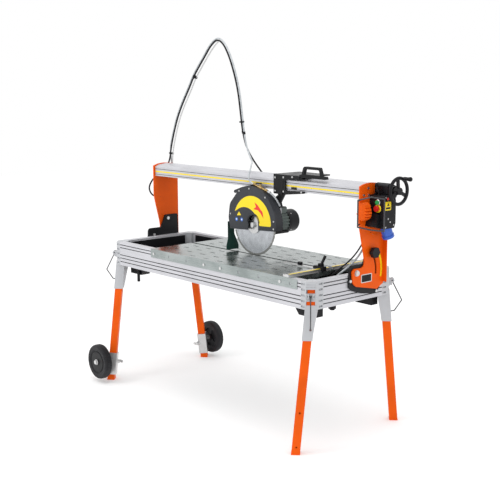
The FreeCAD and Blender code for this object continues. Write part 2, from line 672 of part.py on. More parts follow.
def control_box():
    outline = [(BOX_FRONT, BOX_LOW), (BOX_REAR - 10, BOX_LOW), (BOX_REAR, BOX_LOW + 24, 12),
               (BOX_REAR, 1250, 40), (BOX_REAR - 8, BOX_TOP, 10), (BOX_FRONT, BOX_TOP - 6, 8)]
    inner = PLATE_INNER + PLATE_THICK
    shell = slab_x(outline, inner, BOX_OUTER)
    hollow = slab_x([(BOX_FRONT + 3, BOX_LOW + 3), (BOX_REAR - 12, BOX_LOW + 3),
                     (BOX_REAR - 3, BOX_LOW + 26), (BOX_REAR - 3, 1246),
                     (BOX_REAR - 11, BOX_TOP - 4), (BOX_FRONT + 3, BOX_TOP - 9)],
                    inner + 3, BOX_OUTER - 3)
    bores = [rod(11.3, (945, BOX_FRONT - 1, z), AXIS_Y, 6) for z in (1245, 1213)]
    shelf = slab_x([(58, 1122), (BOX_FRONT, 1112), (BOX_FRONT, 1180), (74, 1190)], inner, 960)
    ears = [box((x, x + 4), (LEVER_Y - 7, LEVER_Y + 7), (1277, LEVER_Z + 6)) for x in (916, 940)]
    pivot = rod(4 + PIVOT_GAP, (910, LEVER_Y, LEVER_Z), AXIS_X, 40)
    return [join(shell.cut([hollow] + bores), shelf, *ears).cut(pivot)]


def push_button(z, radius, proud):
    stem = rod(11, (945, BOX_FRONT - 5, z), AXIS_Y, 12)
    cap = rod(radius, (945, BOX_FRONT - 5 - proud, z), AXIS_Y, proud)
    return [join(stem, cap)]


def switch_lever():
    """A ball-ended lever on a cross pin between the ears on top of the control box."""
    aim = Vector(-0.25, 0, 1)
    stem = rod(5, (930, LEVER_Y, LEVER_Z), aim, 32)
    ball = Part.makeSphere(9, Vector(930, LEVER_Y, LEVER_Z) + aim * 33)
    cross = rod(4, (915, LEVER_Y, LEVER_Z), AXIS_X, 30)
    return [join(stem, ball, cross)]


def power_inlet():
    """The round mains inlet under the control box, turned down and back."""
    aim = Vector(0, 0.40, -0.92)
    start = (945, 150, BOX_LOW + 6)
    body = rod(29, start, aim, 60)
    rim = rod(32, (945, 150 + 0.40 * 50, BOX_LOW + 6 - 0.92 * 50), aim, 14)
    shell = join(body, rim)
    mouth = rod(25, (945, 150 + 0.40 * 36, BOX_LOW + 6 - 0.92 * 36), aim, 40)
    pins = [rod(3, (945 + 14 * math.cos(a), 150 + 14.4 + 14 * math.sin(a), BOX_LOW + 6 - 33), aim, 22)
            for a in (math.radians(90 + 120 * i) for i in range(3))]
    trimmed = shell.cut(mouth)
    keep_out = box((880, 1000), (BOX_FRONT, BOX_REAR), (BOX_LOW, BOX_TOP))
    return [join(trimmed, *pins).cut(keep_out)]


def wire_guard():
    """A bent round bar in front of the controls."""
    route = [(912, -24, 1126), (912, -24, 1262), (960, 22, 1278), (1008, 66, 1268),
             (1008, 66, 1106), (960, 22, 1112)]
    points = [Vector(*p) for p in route] + [Vector(*route[0])]
    bars = [rod(GUARD_BAR_R, tuple(a), b - a, (b - a).Length) for a, b in zip(points, points[1:])]
    knees = [Part.makeSphere(GUARD_BAR_R, p) for p in points[:-1]]
    stubs = [rod(GUARD_BAR_R, (912, -24, z), Vector(-24, 41, 0), 50) for z in (1257, 1134)]
    bar = join(*bars, *knees, *stubs)
    inside = box((PLATE_INNER - 5, PLATE_INNER + PLATE_THICK), (COLUMN_FRONT - 12, 60), (1100, 1300))
    return [bar.cut(inside)]


def laser_unit():
    """The line laser's finned housing at the front edge of the right column."""
    outline = [(895, 1164, 5), (914, 1154, 6), (940, 1170, 6), (946, 1196, 8), (934, 1236, 8),
               (914, 1250, 8), (895, 1238, 6)]
    body = slab_y(outline, 2, 44)
    fins = []
    for i in range(4):
        groove = Part.makeBox(14, 60, 5, Vector(934, -4, 1174 + 15 * i))
        groove.rotate(Vector(934, 0, 1174 + 15 * i), AXIS_Y, 20)
        fins.append(groove)
    nose = rod(6, (878, 10, 1187), AXIS_X, 20)
    tail = box((PLATE_INNER + PLATE_THICK, 925), (40, 58), (1175, 1215))
    return [join(body.cut(fins), nose, tail)]


def drive_housing():
    """The cover of the belt drive between the right column and the handwheel."""
    inner = PLATE_INNER + PLATE_THICK
    shell = slab_x([(128, BOX_TOP - 2, 4), (198, BOX_TOP - 24, 6), (198, 1322, 14), (150, 1340, 12),
                    (128, 1330, 10)], inner, 975)
    keep_out = slab_x([(BOX_FRONT, BOX_LOW), (BOX_REAR, BOX_LOW), (BOX_REAR, 1250),
                       (BOX_REAR - 8, BOX_TOP), (BOX_FRONT, BOX_TOP)], inner - 1, BOX_OUTER)
    nose = rod(24, (974, WHEEL_HAND_Y, WHEEL_HAND_Z), AXIS_X, 22)
    bore = rod(10 + PIVOT_GAP, (inner + 20, WHEEL_HAND_Y, WHEEL_HAND_Z), AXIS_X, 140)
    return [join(shell, nose).cut([bore, keep_out])]


def handwheel():
    centre = Vector(WHEEL_HAND_X, WHEEL_HAND_Y, WHEEL_HAND_Z)
    rim = Part.makeTorus(HAND_RIM_R, HAND_TUBE_R, centre, AXIS_X)
    hub = rod(19, (WHEEL_HAND_X - 20, WHEEL_HAND_Y, WHEEL_HAND_Z), AXIS_X, 30)
    shaft = rod(10, (WHEEL_HAND_X - 100, WHEEL_HAND_Y, WHEEL_HAND_Z), AXIS_X, 90)
    spokes = []
    for angle in (95, 215, 335):
        turn = math.radians(angle)
        along = Vector(0, math.cos(turn), math.sin(turn))
        spoke = Part.makeBox(10, 17, HAND_RIM_R - 12, Vector(-5, -8.5, 12))
        spoke.Placement = FreeCAD.Placement(centre - Vector(3, 0, 0),
                                            FreeCAD.Rotation(AXIS_Z, along))
        spokes.append(spoke)
    y, z = grip_axis()
    pin = rod(5, (WHEEL_HAND_X, y, z), AXIS_X, HAND_TUBE_R + 3 + GRIP_LENGTH - 6)
    return [join(rim, hub, shaft, *spokes, pin)]


def grip_axis():
    turn = math.radians(72)
    return (WHEEL_HAND_Y + HAND_RIM_R * math.cos(turn), WHEEL_HAND_Z + HAND_RIM_R * math.sin(turn))


def crank_grip():
    y, z = grip_axis()
    start = WHEEL_HAND_X + HAND_TUBE_R + 3
    profile = [(0.0, 7.0), (0.0, 9.0), (8.0, 10.0), (30.0, 9.5), (44.0, 12.0), (50.0, 10.0),
               (GRIP_LENGTH, 5.0), (GRIP_LENGTH, 0.0), (0.0, 0.0)]
    points = [Vector(start + a, y + r, z) for a, r in profile]
    face = Part.Face(Part.makePolygon(points + points[:1]))
    grip = face.revolve(Vector(start, y, z), AXIS_X, 360)
    return [grip.cut(rod(5 + PIVOT_GAP, (start - 1, y, z), AXIS_X, GRIP_LENGTH - 4.5))]


def clamp_knob(sign):
    """A lobed knob that tightens on the clamp stud against the column."""
    y, z = stud_point(STUD_ANGLE)
    outer = PLATE_INNER + PLATE_THICK
    head = rod(26, (outer + 12, y, z), AXIS_X, 22)
    lobes = [rod(9, (outer + 12, y + 20 * math.cos(a), z + 20 * math.sin(a)), AXIS_X, 22)
             for a in (math.radians(60 * i) for i in range(6))]
    spigot = rod(13, (outer + 0.4, y, z), AXIS_X, 13)
    bore = rod(STUD_R + PIVOT_GAP, (outer - 1, y, z), AXIS_X, 27.5)
    return [mirrored(join(head, spigot, *lobes).cut(bore), sign, -1)]


# ---------------------------------------------------------------- carriage and head

def carriage():
    """The plates that wrap the beam, the lifting bail on top and the head's pivot pin."""
    left, right, front = CARRIAGE_LEFT, CARRIAGE_RIGHT, CARRIAGE_FRONT
    rear_face = (206.0, 214.0)
    outline = [(left, 1240, 3), (345, 1240), (486, 1256, 3), (486, 1268, 3), (345, 1262, 8),
               (338, 1322, 8), (470, 1330), (470, 1349), (left, 1349, 3)]
    plate = slab_y(outline, front, front + CARRIAGE_THICK)
    top = box((left, right + 60), (front, rear_face[1]), (1341.5, 1349))
    tongue = box((right, 640), (front, 46), (1341.5, 1349))
    rear = box((left, right), rear_face, (1249, 1342))
    floor = box((left, right), (58, rear_face[1]), (1249, 1257))
    lug = slab_y([(HEAD_PIVOT_X - 14, 1252), (HEAD_PIVOT_X - 14, 1236, 8),
                  (HEAD_PIVOT_X + 14, 1236, 8), (HEAD_PIVOT_X + 14, 1252)], 58, 66)
    pin = rod(HEAD_PIVOT_R, (HEAD_PIVOT_X, front - 8, HEAD_PIVOT_Z), AXIS_Y, 74)
    head = rod(9, (HEAD_PIVOT_X, front - 8, HEAD_PIVOT_Z), AXIS_Y, 8)
    bolt = rod(7, (452, front - 5, 1340), AXIS_Y, 5)
    return [join(plate, top, tongue, rear, floor, lug, pin, head, bolt, *bail())]


def bail():
    """The carrying handle on the carriage: two feet and a raised grip along X."""
    y = 30.0
    feet = box((452, 640), (y - 14, y + 14), (1349, 1357))
    grip = slab_y([(462, 1356), (474, 1394, 8), (484, 1402, 6), (600, 1402, 8), (616, 1356)],
                  y - 9, y + 9, [[(480, 1360, 4), (488, 1388, 6), (592, 1388, 6), (602, 1360, 4)]])
    return [feet, grip]


def glide_pads():
    """Plastic pads between the carriage and the beam."""
    pads = []
    for x in (CARRIAGE_LEFT + 10, CARRIAGE_RIGHT - 50):
        pads.append(box((x, x + 40), (CARRIAGE_FRONT + CARRIAGE_THICK, BEAM_FRONT - 0.3), (1274, 1284)))
        pads.append(box((x, x + 40), (BEAM_REAR + 0.3, 206), (1270, 1300)))
        pads.append(box((x, x + 40), (100, 120), (1338.4, 1341.5)))
        pads.append(box((x, x + 40), (90, 180), (1257, BEAM_BOTTOM - 0.3)))
    return pads


def blade_guard():
    """A hood over a slanted bottom edge, with a keyhole for the nut in its front face."""
    hood = slab_y(GUARD_OUTLINE, GUARD_FRONT, GUARD_REAR)
    face = Part.Face(loop(GUARD_OUTLINE, lambda p: Vector(p.x, GUARD_FRONT + GUARD_WALL, p.y)))
    pocket = face.makeOffset2D(-GUARD_WALL).extrude(AXIS_Y * (GUARD_REAR - GUARD_FRONT - 2 * GUARD_WALL))
    mouth = slab_y([(-66, 1000), (308, 1000), (308, 1040), (-66, 1020)], GUARD_FRONT + GUARD_WALL,
                   GUARD_REAR - GUARD_WALL)
    keyhole = join(rod(42, (SPINDLE_X + 22, GUARD_FRONT - 1, 1067), AXIS_Y, GUARD_WALL + 2),
                   box((SPINDLE_X - 20, SPINDLE_X + 64), (GUARD_FRONT - 1, GUARD_FRONT + GUARD_WALL + 1),
                       (900, 1067)))
    spindle = rod(30, (SPINDLE_X, GUARD_REAR - GUARD_WALL - 1, SPINDLE_Z), AXIS_Y, 8)
    beak = slab_y([(-40, 1238), (30, 1262), (105, 1278), (105, 1272), (30, 1254), (-30, 1222, 4),
                   (-44, 1226, 4)], GUARD_FRONT + 6, GUARD_REAR - 6)
    return [join(hood, beak).cut([pocket, mouth, keyhole, spindle])]


def motor_body():
    profile = []
    steps = 2 * MOTOR_FINS
    for i in range(steps):
        for share in (0.0, 0.5):
            turn = 2 * math.pi * (i + share) / steps
            radius = MOTOR_R if i % 2 else MOTOR_R - 6
            profile.append((SPINDLE_X + radius * math.cos(turn), SPINDLE_Z + radius * math.sin(turn)))
    barrel = slab_y(profile, MOTOR_START, MOTOR_COVER)
    box_top = box((SPINDLE_X - 34, SPINDLE_X + 34), (150, 220), (SPINDLE_Z + 50, SPINDLE_Z + 84))
    shaft_bore = rod(17.05, (SPINDLE_X, MOTOR_START - 1, SPINDLE_Z), AXIS_Y, 150)
    return [join(barrel, box_top).cut(shaft_bore)]


def motor_mount():
    """The arm from the carriage's pivot to the motor, with the flange, and the fan's cover."""
    flange = rod(70, (SPINDLE_X, GUARD_REAR, SPINDLE_Z), AXIS_Y, MOTOR_START - GUARD_REAR)
    eye = rod(11, (HEAD_PIVOT_X, 27, HEAD_PIVOT_Z), AXIS_Y, MOTOR_START - 27)
    arm = slab_y([(309, 1255.5), (326, 1241), (170, 1010), (60, 1100)], 27, MOTOR_START)
    web = slab_y([(170, 1010), (300, 1032), (300, 1060, 6), (200, 1100)], GUARD_REAR, MOTOR_START)
    port = rod(7, (288, 31, 1050), AXIS_Z, 20)
    cradle = slab_y([(SPINDLE_X - 40, 985), (SPINDLE_X + 60, 990, 6), (SPINDLE_X + 64, 1004, 4),
                     (SPINDLE_X + 30, 1010), (SPINDLE_X - 30, 1010)], MOTOR_START - 1, 210)
    barrel = rod(MOTOR_R + 0.2, (SPINDLE_X, MOTOR_START, SPINDLE_Z), AXIS_Y, 300)
    bores = [rod(17.05, (SPINDLE_X, GUARD_REAR - 1, SPINDLE_Z), AXIS_Y, 60),
             rod(HEAD_PIVOT_R + PIVOT_GAP, (HEAD_PIVOT_X, 20, HEAD_PIVOT_Z), AXIS_Y, 30), barrel]
    bracket = join(flange, eye, arm, web, port, cradle).cut(bores)
    bell = rod(MOTOR_R + 2, (SPINDLE_X, MOTOR_COVER, SPINDLE_Z), AXIS_Y, MOTOR_END - MOTOR_COVER)
    rim = [e for e in bell.Edges if abs(e.BoundBox.YMin - MOTOR_END) < 0.01
           and abs(e.BoundBox.YMax - MOTOR_END) < 0.01]
    bell = bell.makeFillet(16, rim)
    hollow = rod(MOTOR_R - 2, (SPINDLE_X, MOTOR_COVER - 1, SPINDLE_Z), AXIS_Y, 56)
    slots = []
    for i in range(8):
        turn = math.radians(45 * i)
        slot = Part.makeBox(8, 30, 34, Vector(-4, MOTOR_END - 20, 16))
        slot.rotate(NOWHERE, AXIS_Y, math.degrees(turn))
        slot.translate(Vector(SPINDLE_X, 0, SPINDLE_Z))
        slots.append(slot)
    return [bracket, bell.cut([hollow] + slots)]


def splash_flap():
    """The rubber flap across the left end of the guard."""
    outline = [(-30, 1052), (18, 1052), (20, 1004), (28, 958, 10), (52, 918, 10), (52, 892, 6),
               (-42, 882, 4), (-42, 902, 6), (-30, 940, 8)]
    return [slab_x(outline, -96, -90)]


def blade():
    centre = (SPINDLE_X, -BLADE_THICK / 2, SPINDLE_Z)
    disc = ring(BLADE_R, 12.5, centre, AXIS_Y, BLADE_THICK)
    cuts = []
    for i in range(BLADE_TEETH):
        cut = Part.makeBox(2.5, 6, 16, Vector(-1.25, -3, BLADE_R - 14))
        cut.rotate(NOWHERE, AXIS_Y, 360.0 / BLADE_TEETH * i)
        cut.translate(Vector(SPINDLE_X, 0, SPINDLE_Z))
        cuts.append(cut)
    return [disc.cut(cuts)]


def blade_clamp():
    """The motor's spindle with the two blade flanges and the nut."""
    half = BLADE_THICK / 2
    shaft = rod(12.5, (SPINDLE_X, -22, SPINDLE_Z), AXIS_Y, 44)
    inner = rod(17, (SPINDLE_X, half, SPINDLE_Z), AXIS_Y, 120)
    flanges = [rod(50, (SPINDLE_X, half, SPINDLE_Z), AXIS_Y, 7),
               rod(50, (SPINDLE_X, -half - 7, SPINDLE_Z), AXIS_Y, 7)]
    corners = [(SPINDLE_X + 17 * math.cos(a), SPINDLE_Z + 17 * math.sin(a))
               for a in (math.radians(60 * i) for i in range(6))]
    nut = slab_y(corners, -half - 19, -half - 7)
    gap = rod(BLADE_R + 1, (SPINDLE_X, -half, SPINDLE_Z), AXIS_Y, BLADE_THICK)
    keep = rod(12.5, (SPINDLE_X, -half, SPINDLE_Z), AXIS_Y, BLADE_THICK)
    return [join(join(shaft, inner, nut, *flanges).cut(gap), keep)]


def water_tap():
    """The brass tap on the guard's shoulder, with its bracket."""
    aim = Vector(1, 0, -0.28).normalize()
    start = Vector(108, -8, 1283)
    body = Part.makeCylinder(6.5, 122, start, aim)
    middle = start + aim * 60
    barrel = Part.makeCylinder(9.5, 34, middle - aim * 17, aim)
    neck = rod(7, (middle.x, middle.y, middle.z), AXIS_Z, 20)
    foot = box((150, 162), (-14, -2), (1245, 1272))
    shape = join(body, barrel, neck, foot)
    bore = rod(3 + PIVOT_GAP, (middle.x, middle.y, middle.z + 12), AXIS_Z, 12)
    return [shape.cut([bore, slab_y(GUARD_OUTLINE, GUARD_FRONT, GUARD_REAR)])]


def tap_lever():
    aim = Vector(1, 0, -0.28).normalize()
    middle = Vector(108, -8, 1283) + aim * 60
    z = middle.z + 20.4
    pin = rod(3, (middle.x, middle.y, z - 7), AXIS_Z, 10)
    arm = slab_z([(middle.x - 34, middle.y - 6, 5), (middle.x + 8, middle.y - 7, 5),
                  (middle.x + 8, middle.y + 7, 5), (middle.x - 34, middle.y + 6, 5)], z, z + 6)
    return [join(pin, arm)]


# ---------------------------------------------------------------- legs, locks, wheels

def leg(signs):
    tube_outer = diamond(LEG_TUBE, LEG_LOW - 30, LEG_TOP)
    tube_inner = diamond(LEG_TUBE - 2 * LEG_WALL, LEG_LOW - 31, LEG_TOP + 1)
    bar = on_leg(tube_outer.cut(tube_inner))
    below = box((-2000, 2000), (-2000, 2000), (-200, LEG_LOW))
    cuts = [below]
    for z in LEG_HOLES:
        start = Vector(LEG_X, -leg_y(z), z) + OUTWARD * 10
        cuts.append(Part.makeCylinder(5, 30, start, OUTWARD))
    start = Vector(LEG_X, -leg_y(LOCK_HOLE_Z), LOCK_HOLE_Z) + OUTWARD * 10
    cuts.append(Part.makeCylinder(LOCK_HOLE_R, 30, start, OUTWARD))
    bar = bar.cut(cuts)
    cap = on_leg(diamond(LEG_TUBE + 2, -30, LEG_LOW + 2))
    plug = on_leg(diamond(LEG_TUBE - 2 * LEG_WALL, -30, 40))
    floor = box((-2000, 2000), (-2000, 2000), (-200, 0))
    foot = cap.common(box((0, 2000), (-2000, 0), (-1, LEG_LOW))).fuse(
        plug.common(box((0, 2000), (-2000, 0), (-1, 36)))).cut(floor)
    return [mirrored(bar, *signs), mirrored(foot, *signs)]


def wire_lock(signs):
    """A spring wire that swings on the lug and plugs into the socket's hole."""
    pivot = corner_point(LUG_OUT, 0, LUG_Z)
    hole_out = (LEG_X + leg_y(LOCK_HOLE_Z)) * math.sqrt(0.5)
    face_out = (2 * (FRAME_HALF_X + FRAME_HALF_Y) - 2 * POST_CHAMFER) / 2 * math.sqrt(0.5)
    tip = hole_out + LEG_TUBE / 2 + 1.4 - face_out
    route = [(LUG_OUT, LUG_Z - 3), (72.0, 694.0), (tip + 22, LOCK_HOLE_Z + 4), (tip, LOCK_HOLE_Z)]
    points = [corner_point(out, 0, z) for out, z in route]
    bars = [Part.makeCylinder(WIRE_R, (b - a).Length, a, b - a) for a, b in zip(points, points[1:])]
    knees = [Part.makeSphere(WIRE_R, p) for p in points[1:-1]]
    half = LUG_GAP + LUG_EAR + 3
    pin = Part.makeCylinder(LUG_PIN_R, 2 * half, pivot - SIDEWAYS * half, SIDEWAYS)
    return [mirrored(join(pin, *bars, *knees), *signs)]


def wheel_bracket(place):
    """The sleeve on the leg, the wheel's axle and the nut on its end."""
    inner = WHEEL_INNER_Y[place]
    face = inner + WHEEL_WIDTH
    sleeve = on_leg(diamond(SLEEVE_OUTER, SLEEVE_LOW, SLEEVE_HIGH))
    y = -leg_y(AXLE_Z)
    axle = rod(AXLE_R, (LEG_X, -face - 4, AXLE_Z), AXIS_Y, face + 4 + y)
    collar = rod(15, (LEG_X, -inner + 1.0, AXLE_Z), AXIS_Y, inner - 1.0 + y)
    boss = rod(12, (LEG_X, -leg_y(SCREW_Z), SCREW_Z), AXIS_Y, 46)
    bore = on_leg(diamond(LEG_TUBE, SLEEVE_LOW - 1, SLEEVE_HIGH + 1))
    thread = rod(4 + PIVOT_GAP, (LEG_X, -leg_y(SCREW_Z), SCREW_Z), AXIS_Y, 60)
    nut = rod(13, (LEG_X, -face - HUB_NUT_REACH, AXLE_Z), AXIS_Y, HUB_NUT_REACH - 1)
    return [mirrored(join(sleeve, axle, collar, boss, nut).cut([bore, thread]), *CORNERS[place])]


def wing_screw(signs):
    start = -leg_y(SCREW_Z) + 34
    low, high, left, right = SCREW_Z - 8, SCREW_Z + 8, LEG_X - 22, LEG_X + 22
    screw = rod(4, (LEG_X, start, SCREW_Z), AXIS_Y, 34)
    hub = rod(9, (LEG_X, start + 13, SCREW_Z), AXIS_Y, 16)
    wings = slab_y([(left, low, 6), (right, low, 6), (right, high, 6), (left, high, 6)],
                   start + 22, start + 30)
    return [mirrored(join(screw, hub, wings), *signs)]


def wheel(place):
    """A solid rubber tyre on a five-spoke hub with a closed web."""
    middle = -WHEEL_INNER_Y[place] - WHEEL_WIDTH / 2
    half = WHEEL_WIDTH / 2
    profile = [(HUB_R, -half + 5), (HUB_R + 6, -half + 1), (WHEEL_R - 12, -half), (WHEEL_R - 3, -half + 5),
               (WHEEL_R, -half + 13), (WHEEL_R, half - 13), (WHEEL_R - 3, half - 5),
               (WHEEL_R - 12, half), (HUB_R + 6, half - 1), (HUB_R, half - 5)]
    points = [Vector(LEG_X + r, middle + a, AXLE_Z) for r, a in profile]
    face = Part.Face(Part.makePolygon(points + points[:1]))
    tyre = face.revolve(Vector(LEG_X, 0, AXLE_Z), AXIS_Y, 360)
    start = (LEG_X, middle - half + 6, AXLE_Z)
    rim = ring(HUB_R, HUB_R - 9, start, AXIS_Y, WHEEL_WIDTH - 12)
    core = rod(20, (LEG_X, middle - half, AXLE_Z), AXIS_Y, WHEEL_WIDTH)
    spokes = []
    for i in range(5):
        spoke = Part.makeBox(22, 14, HUB_R - 14, Vector(-11, middle - 7, 10))
        spoke.rotate(NOWHERE, AXIS_Y, 72 * i)
        spoke.translate(Vector(LEG_X, 0, AXLE_Z))
        spokes.append(spoke)
    web = rod(HUB_R - 4, (LEG_X, middle - 3, AXLE_Z), AXIS_Y, 6)
    bore = rod(AXLE_R + PIVOT_GAP, (LEG_X, middle - half - 1, AXLE_Z), AXIS_Y, WHEEL_WIDTH + 2)
    hub = join(rim, core, web, *spokes).cut(bore)
    return [mirrored(tyre, *CORNERS[place]), mirrored(hub, *CORNERS[place])]


# ---------------------------------------------------------------- pump, cords

def water_pump():
    """The submersible pump that stands in the tank's open right end."""
    floor = TANK_BOTTOM + TANK_WALL
    base = slab_z([(727, -100, 12), (784, -100, 12), (784, -30, 12), (727, -30, 12)], floor, floor + 52)
    foot = box((733, 778), (-94, -36), (floor, floor + 6))
    outlet = rod(9, (768, -60, floor + 51), AXIS_Z, 790 - floor - 51)
    gland = rod(8, (748, -76, floor + 51), AXIS_Z, 790 - floor - 51)
    return [join(base, foot, outlet, gland)]


def flush(cord, x, sign):
    """Ends a cord flush with the plate whose face is at x, on the side given by the sign."""
    beyond = box(sorted((x, x + sign * 40)), (-400, 400), (700, 1500))
    return [cord.cut(beyond)]


def whip_rod():
    """The springy rod that holds the cable and the hose up, with its clamp on the left column."""
    spring = tube("whip_rod", WHIP_ROUTE, ROD_R)
    outer = PLATE_INNER + PLATE_THICK
    clamp = box((-outer - 22, -outer), (160, 199), (1206, 1236))
    return [join(clamp, spring)]


def build():
    parts = {
        "frame_rails": frame_rails(), "corner_sockets": corner_sockets(),
        "water_tank": water_tank(), "tank_fittings": tank_fittings(),
        "table_plates": table_plates(), "end_fence": end_fence(), "fence_stop": fence_stop(),
        "fence_lever": fence_lever(), "guide_knob": guide_knob(),
        "tilt_brackets": tilt_brackets(), "fasteners": fasteners(), "water_pump": water_pump(),
        "column_left": column(-1), "column_right": column(1), "beam": beam(),
        "drive_belt": drive_belt(), "column_bolts": column_bolts(),
        "control_box": control_box(), "start_button": push_button(1245, 11, 6),
        "stop_button": push_button(1213, 15, 12), "switch_lever": switch_lever(),
        "power_inlet": power_inlet(), "wire_guard": wire_guard(), "laser_unit": laser_unit(),
        "drive_housing": drive_housing(), "handwheel": handwheel(), "crank_grip": crank_grip(),
        "clamp_knob_left": clamp_knob(-1), "clamp_knob_right": clamp_knob(1),
        "carriage": carriage(), "glide_pads": glide_pads(), "blade_guard": blade_guard(),
        "motor_body": motor_body(), "motor_mount": motor_mount(), "splash_flap": splash_flap(),
        "blade": blade(), "blade_clamp": blade_clamp(), "water_tap": water_tap(),
        "tap_lever": tap_lever(), "whip_rod": whip_rod(),
        "whip_cable": flush(tube("whip_cable", CABLE_ROUTE, CABLE_R), -PLATE_INNER - PLATE_THICK, 1),
        "whip_hose": [tube("whip_hose", HOSE_ROUTE, HOSE_R)],
        "head_hose": [tube("head_hose", HEAD_HOSE_ROUTE, HOSE_R)],
        "pump_hose": flush(tube("pump_hose", PUMP_HOSE_ROUTE, HOSE_R), PLATE_INNER, 1),
        "pump_cable": flush(tube("pump_cable", PUMP_CABLE_ROUTE, PUMP_CABLE_R), PLATE_INNER, 1),
    }
    for place, signs in CORNERS.items():
        parts[f"leg_{place}"] = leg(signs)
        parts[f"wire_lock_{place}"] = wire_lock(signs)
    for place in ("fl", "rl"):
        parts[f"wheel_bracket_{place}"] = wheel_bracket(place)
        parts[f"wing_screw_{place}"] = wing_screw(CORNERS[place])
        parts[f"wheel_{place}"] = wheel(place)
    return parts


os.makedirs("parts", exist_ok=True)
for node, solids in build().items():
    shape = Part.makeCompound([s for piece in solids for s in piece.Solids])
    if len(shape.Solids) == 1:
        shape = shape.Solids[0]
    shape.translate(Vector(-ORIGIN_X, -ORIGIN_Y, 0))
    bad = [s for s in shape.Solids if not s.isValid() or s.Volume <= 0]
    if bad:
        print(f"{node}: {len(bad)} solids aren't valid")
    shape.exportStep(f"parts/{node}.step")
print("origin", ORIGIN_X, ORIGIN_Y)
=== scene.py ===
import json
import math

import bmesh
import bpy
from mathutils import Matrix, Vector


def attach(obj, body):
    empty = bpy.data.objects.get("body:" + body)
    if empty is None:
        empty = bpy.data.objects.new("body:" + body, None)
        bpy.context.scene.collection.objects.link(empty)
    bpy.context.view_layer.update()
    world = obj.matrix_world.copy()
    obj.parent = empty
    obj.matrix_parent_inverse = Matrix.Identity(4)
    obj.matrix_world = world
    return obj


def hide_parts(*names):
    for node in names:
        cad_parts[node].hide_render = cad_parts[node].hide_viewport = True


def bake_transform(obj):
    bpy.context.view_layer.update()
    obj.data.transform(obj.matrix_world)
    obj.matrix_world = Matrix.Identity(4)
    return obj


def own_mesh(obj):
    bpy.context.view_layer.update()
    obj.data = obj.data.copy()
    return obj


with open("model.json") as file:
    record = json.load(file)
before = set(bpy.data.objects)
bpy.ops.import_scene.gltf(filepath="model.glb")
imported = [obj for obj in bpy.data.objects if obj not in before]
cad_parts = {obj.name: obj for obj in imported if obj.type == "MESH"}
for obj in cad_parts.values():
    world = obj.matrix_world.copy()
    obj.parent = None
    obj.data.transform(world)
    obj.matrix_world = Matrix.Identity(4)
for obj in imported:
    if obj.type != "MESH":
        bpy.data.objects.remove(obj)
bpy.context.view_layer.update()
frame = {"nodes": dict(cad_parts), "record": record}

# The CAD is drawn about the middle of the frame and lies this far from the row's origin.
ORIGIN_X = 69.5
ORIGIN_Y = -8.5


def at(x, y, z):
    """A point in millimetres about the middle of the frame, as metres in the row frame."""
    return Vector(((x - ORIGIN_X) / 1000, (y - ORIGIN_Y) / 1000, z / 1000))


def mm(value):
    return value / 1000


# ---------------------------------------------------------------- camera

AZIMUTH = math.radians(48.561)
PITCH = math.radians(-9.81)
ROLL = math.radians(-0.197)
CAMERA_PLACE = at(4097.9, -3558.4, 1829.0)

camera = bpy.data.objects.new("camera", bpy.data.cameras.new("camera"))
bpy.context.scene.collection.objects.link(camera)
camera.data.lens = 68.449
camera.data.sensor_width = 36.0
camera.data.clip_end = 60.0
camera.location = CAMERA_PLACE
turn = (Matrix.Rotation(AZIMUTH, 3, "Z") @ Matrix.Rotation(math.pi / 2 + PITCH, 3, "X")
        @ Matrix.Rotation(ROLL, 3, "Z"))
camera.rotation_euler = turn.to_euler()
bpy.context.scene.camera = camera


# ---------------------------------------------------------------- materials

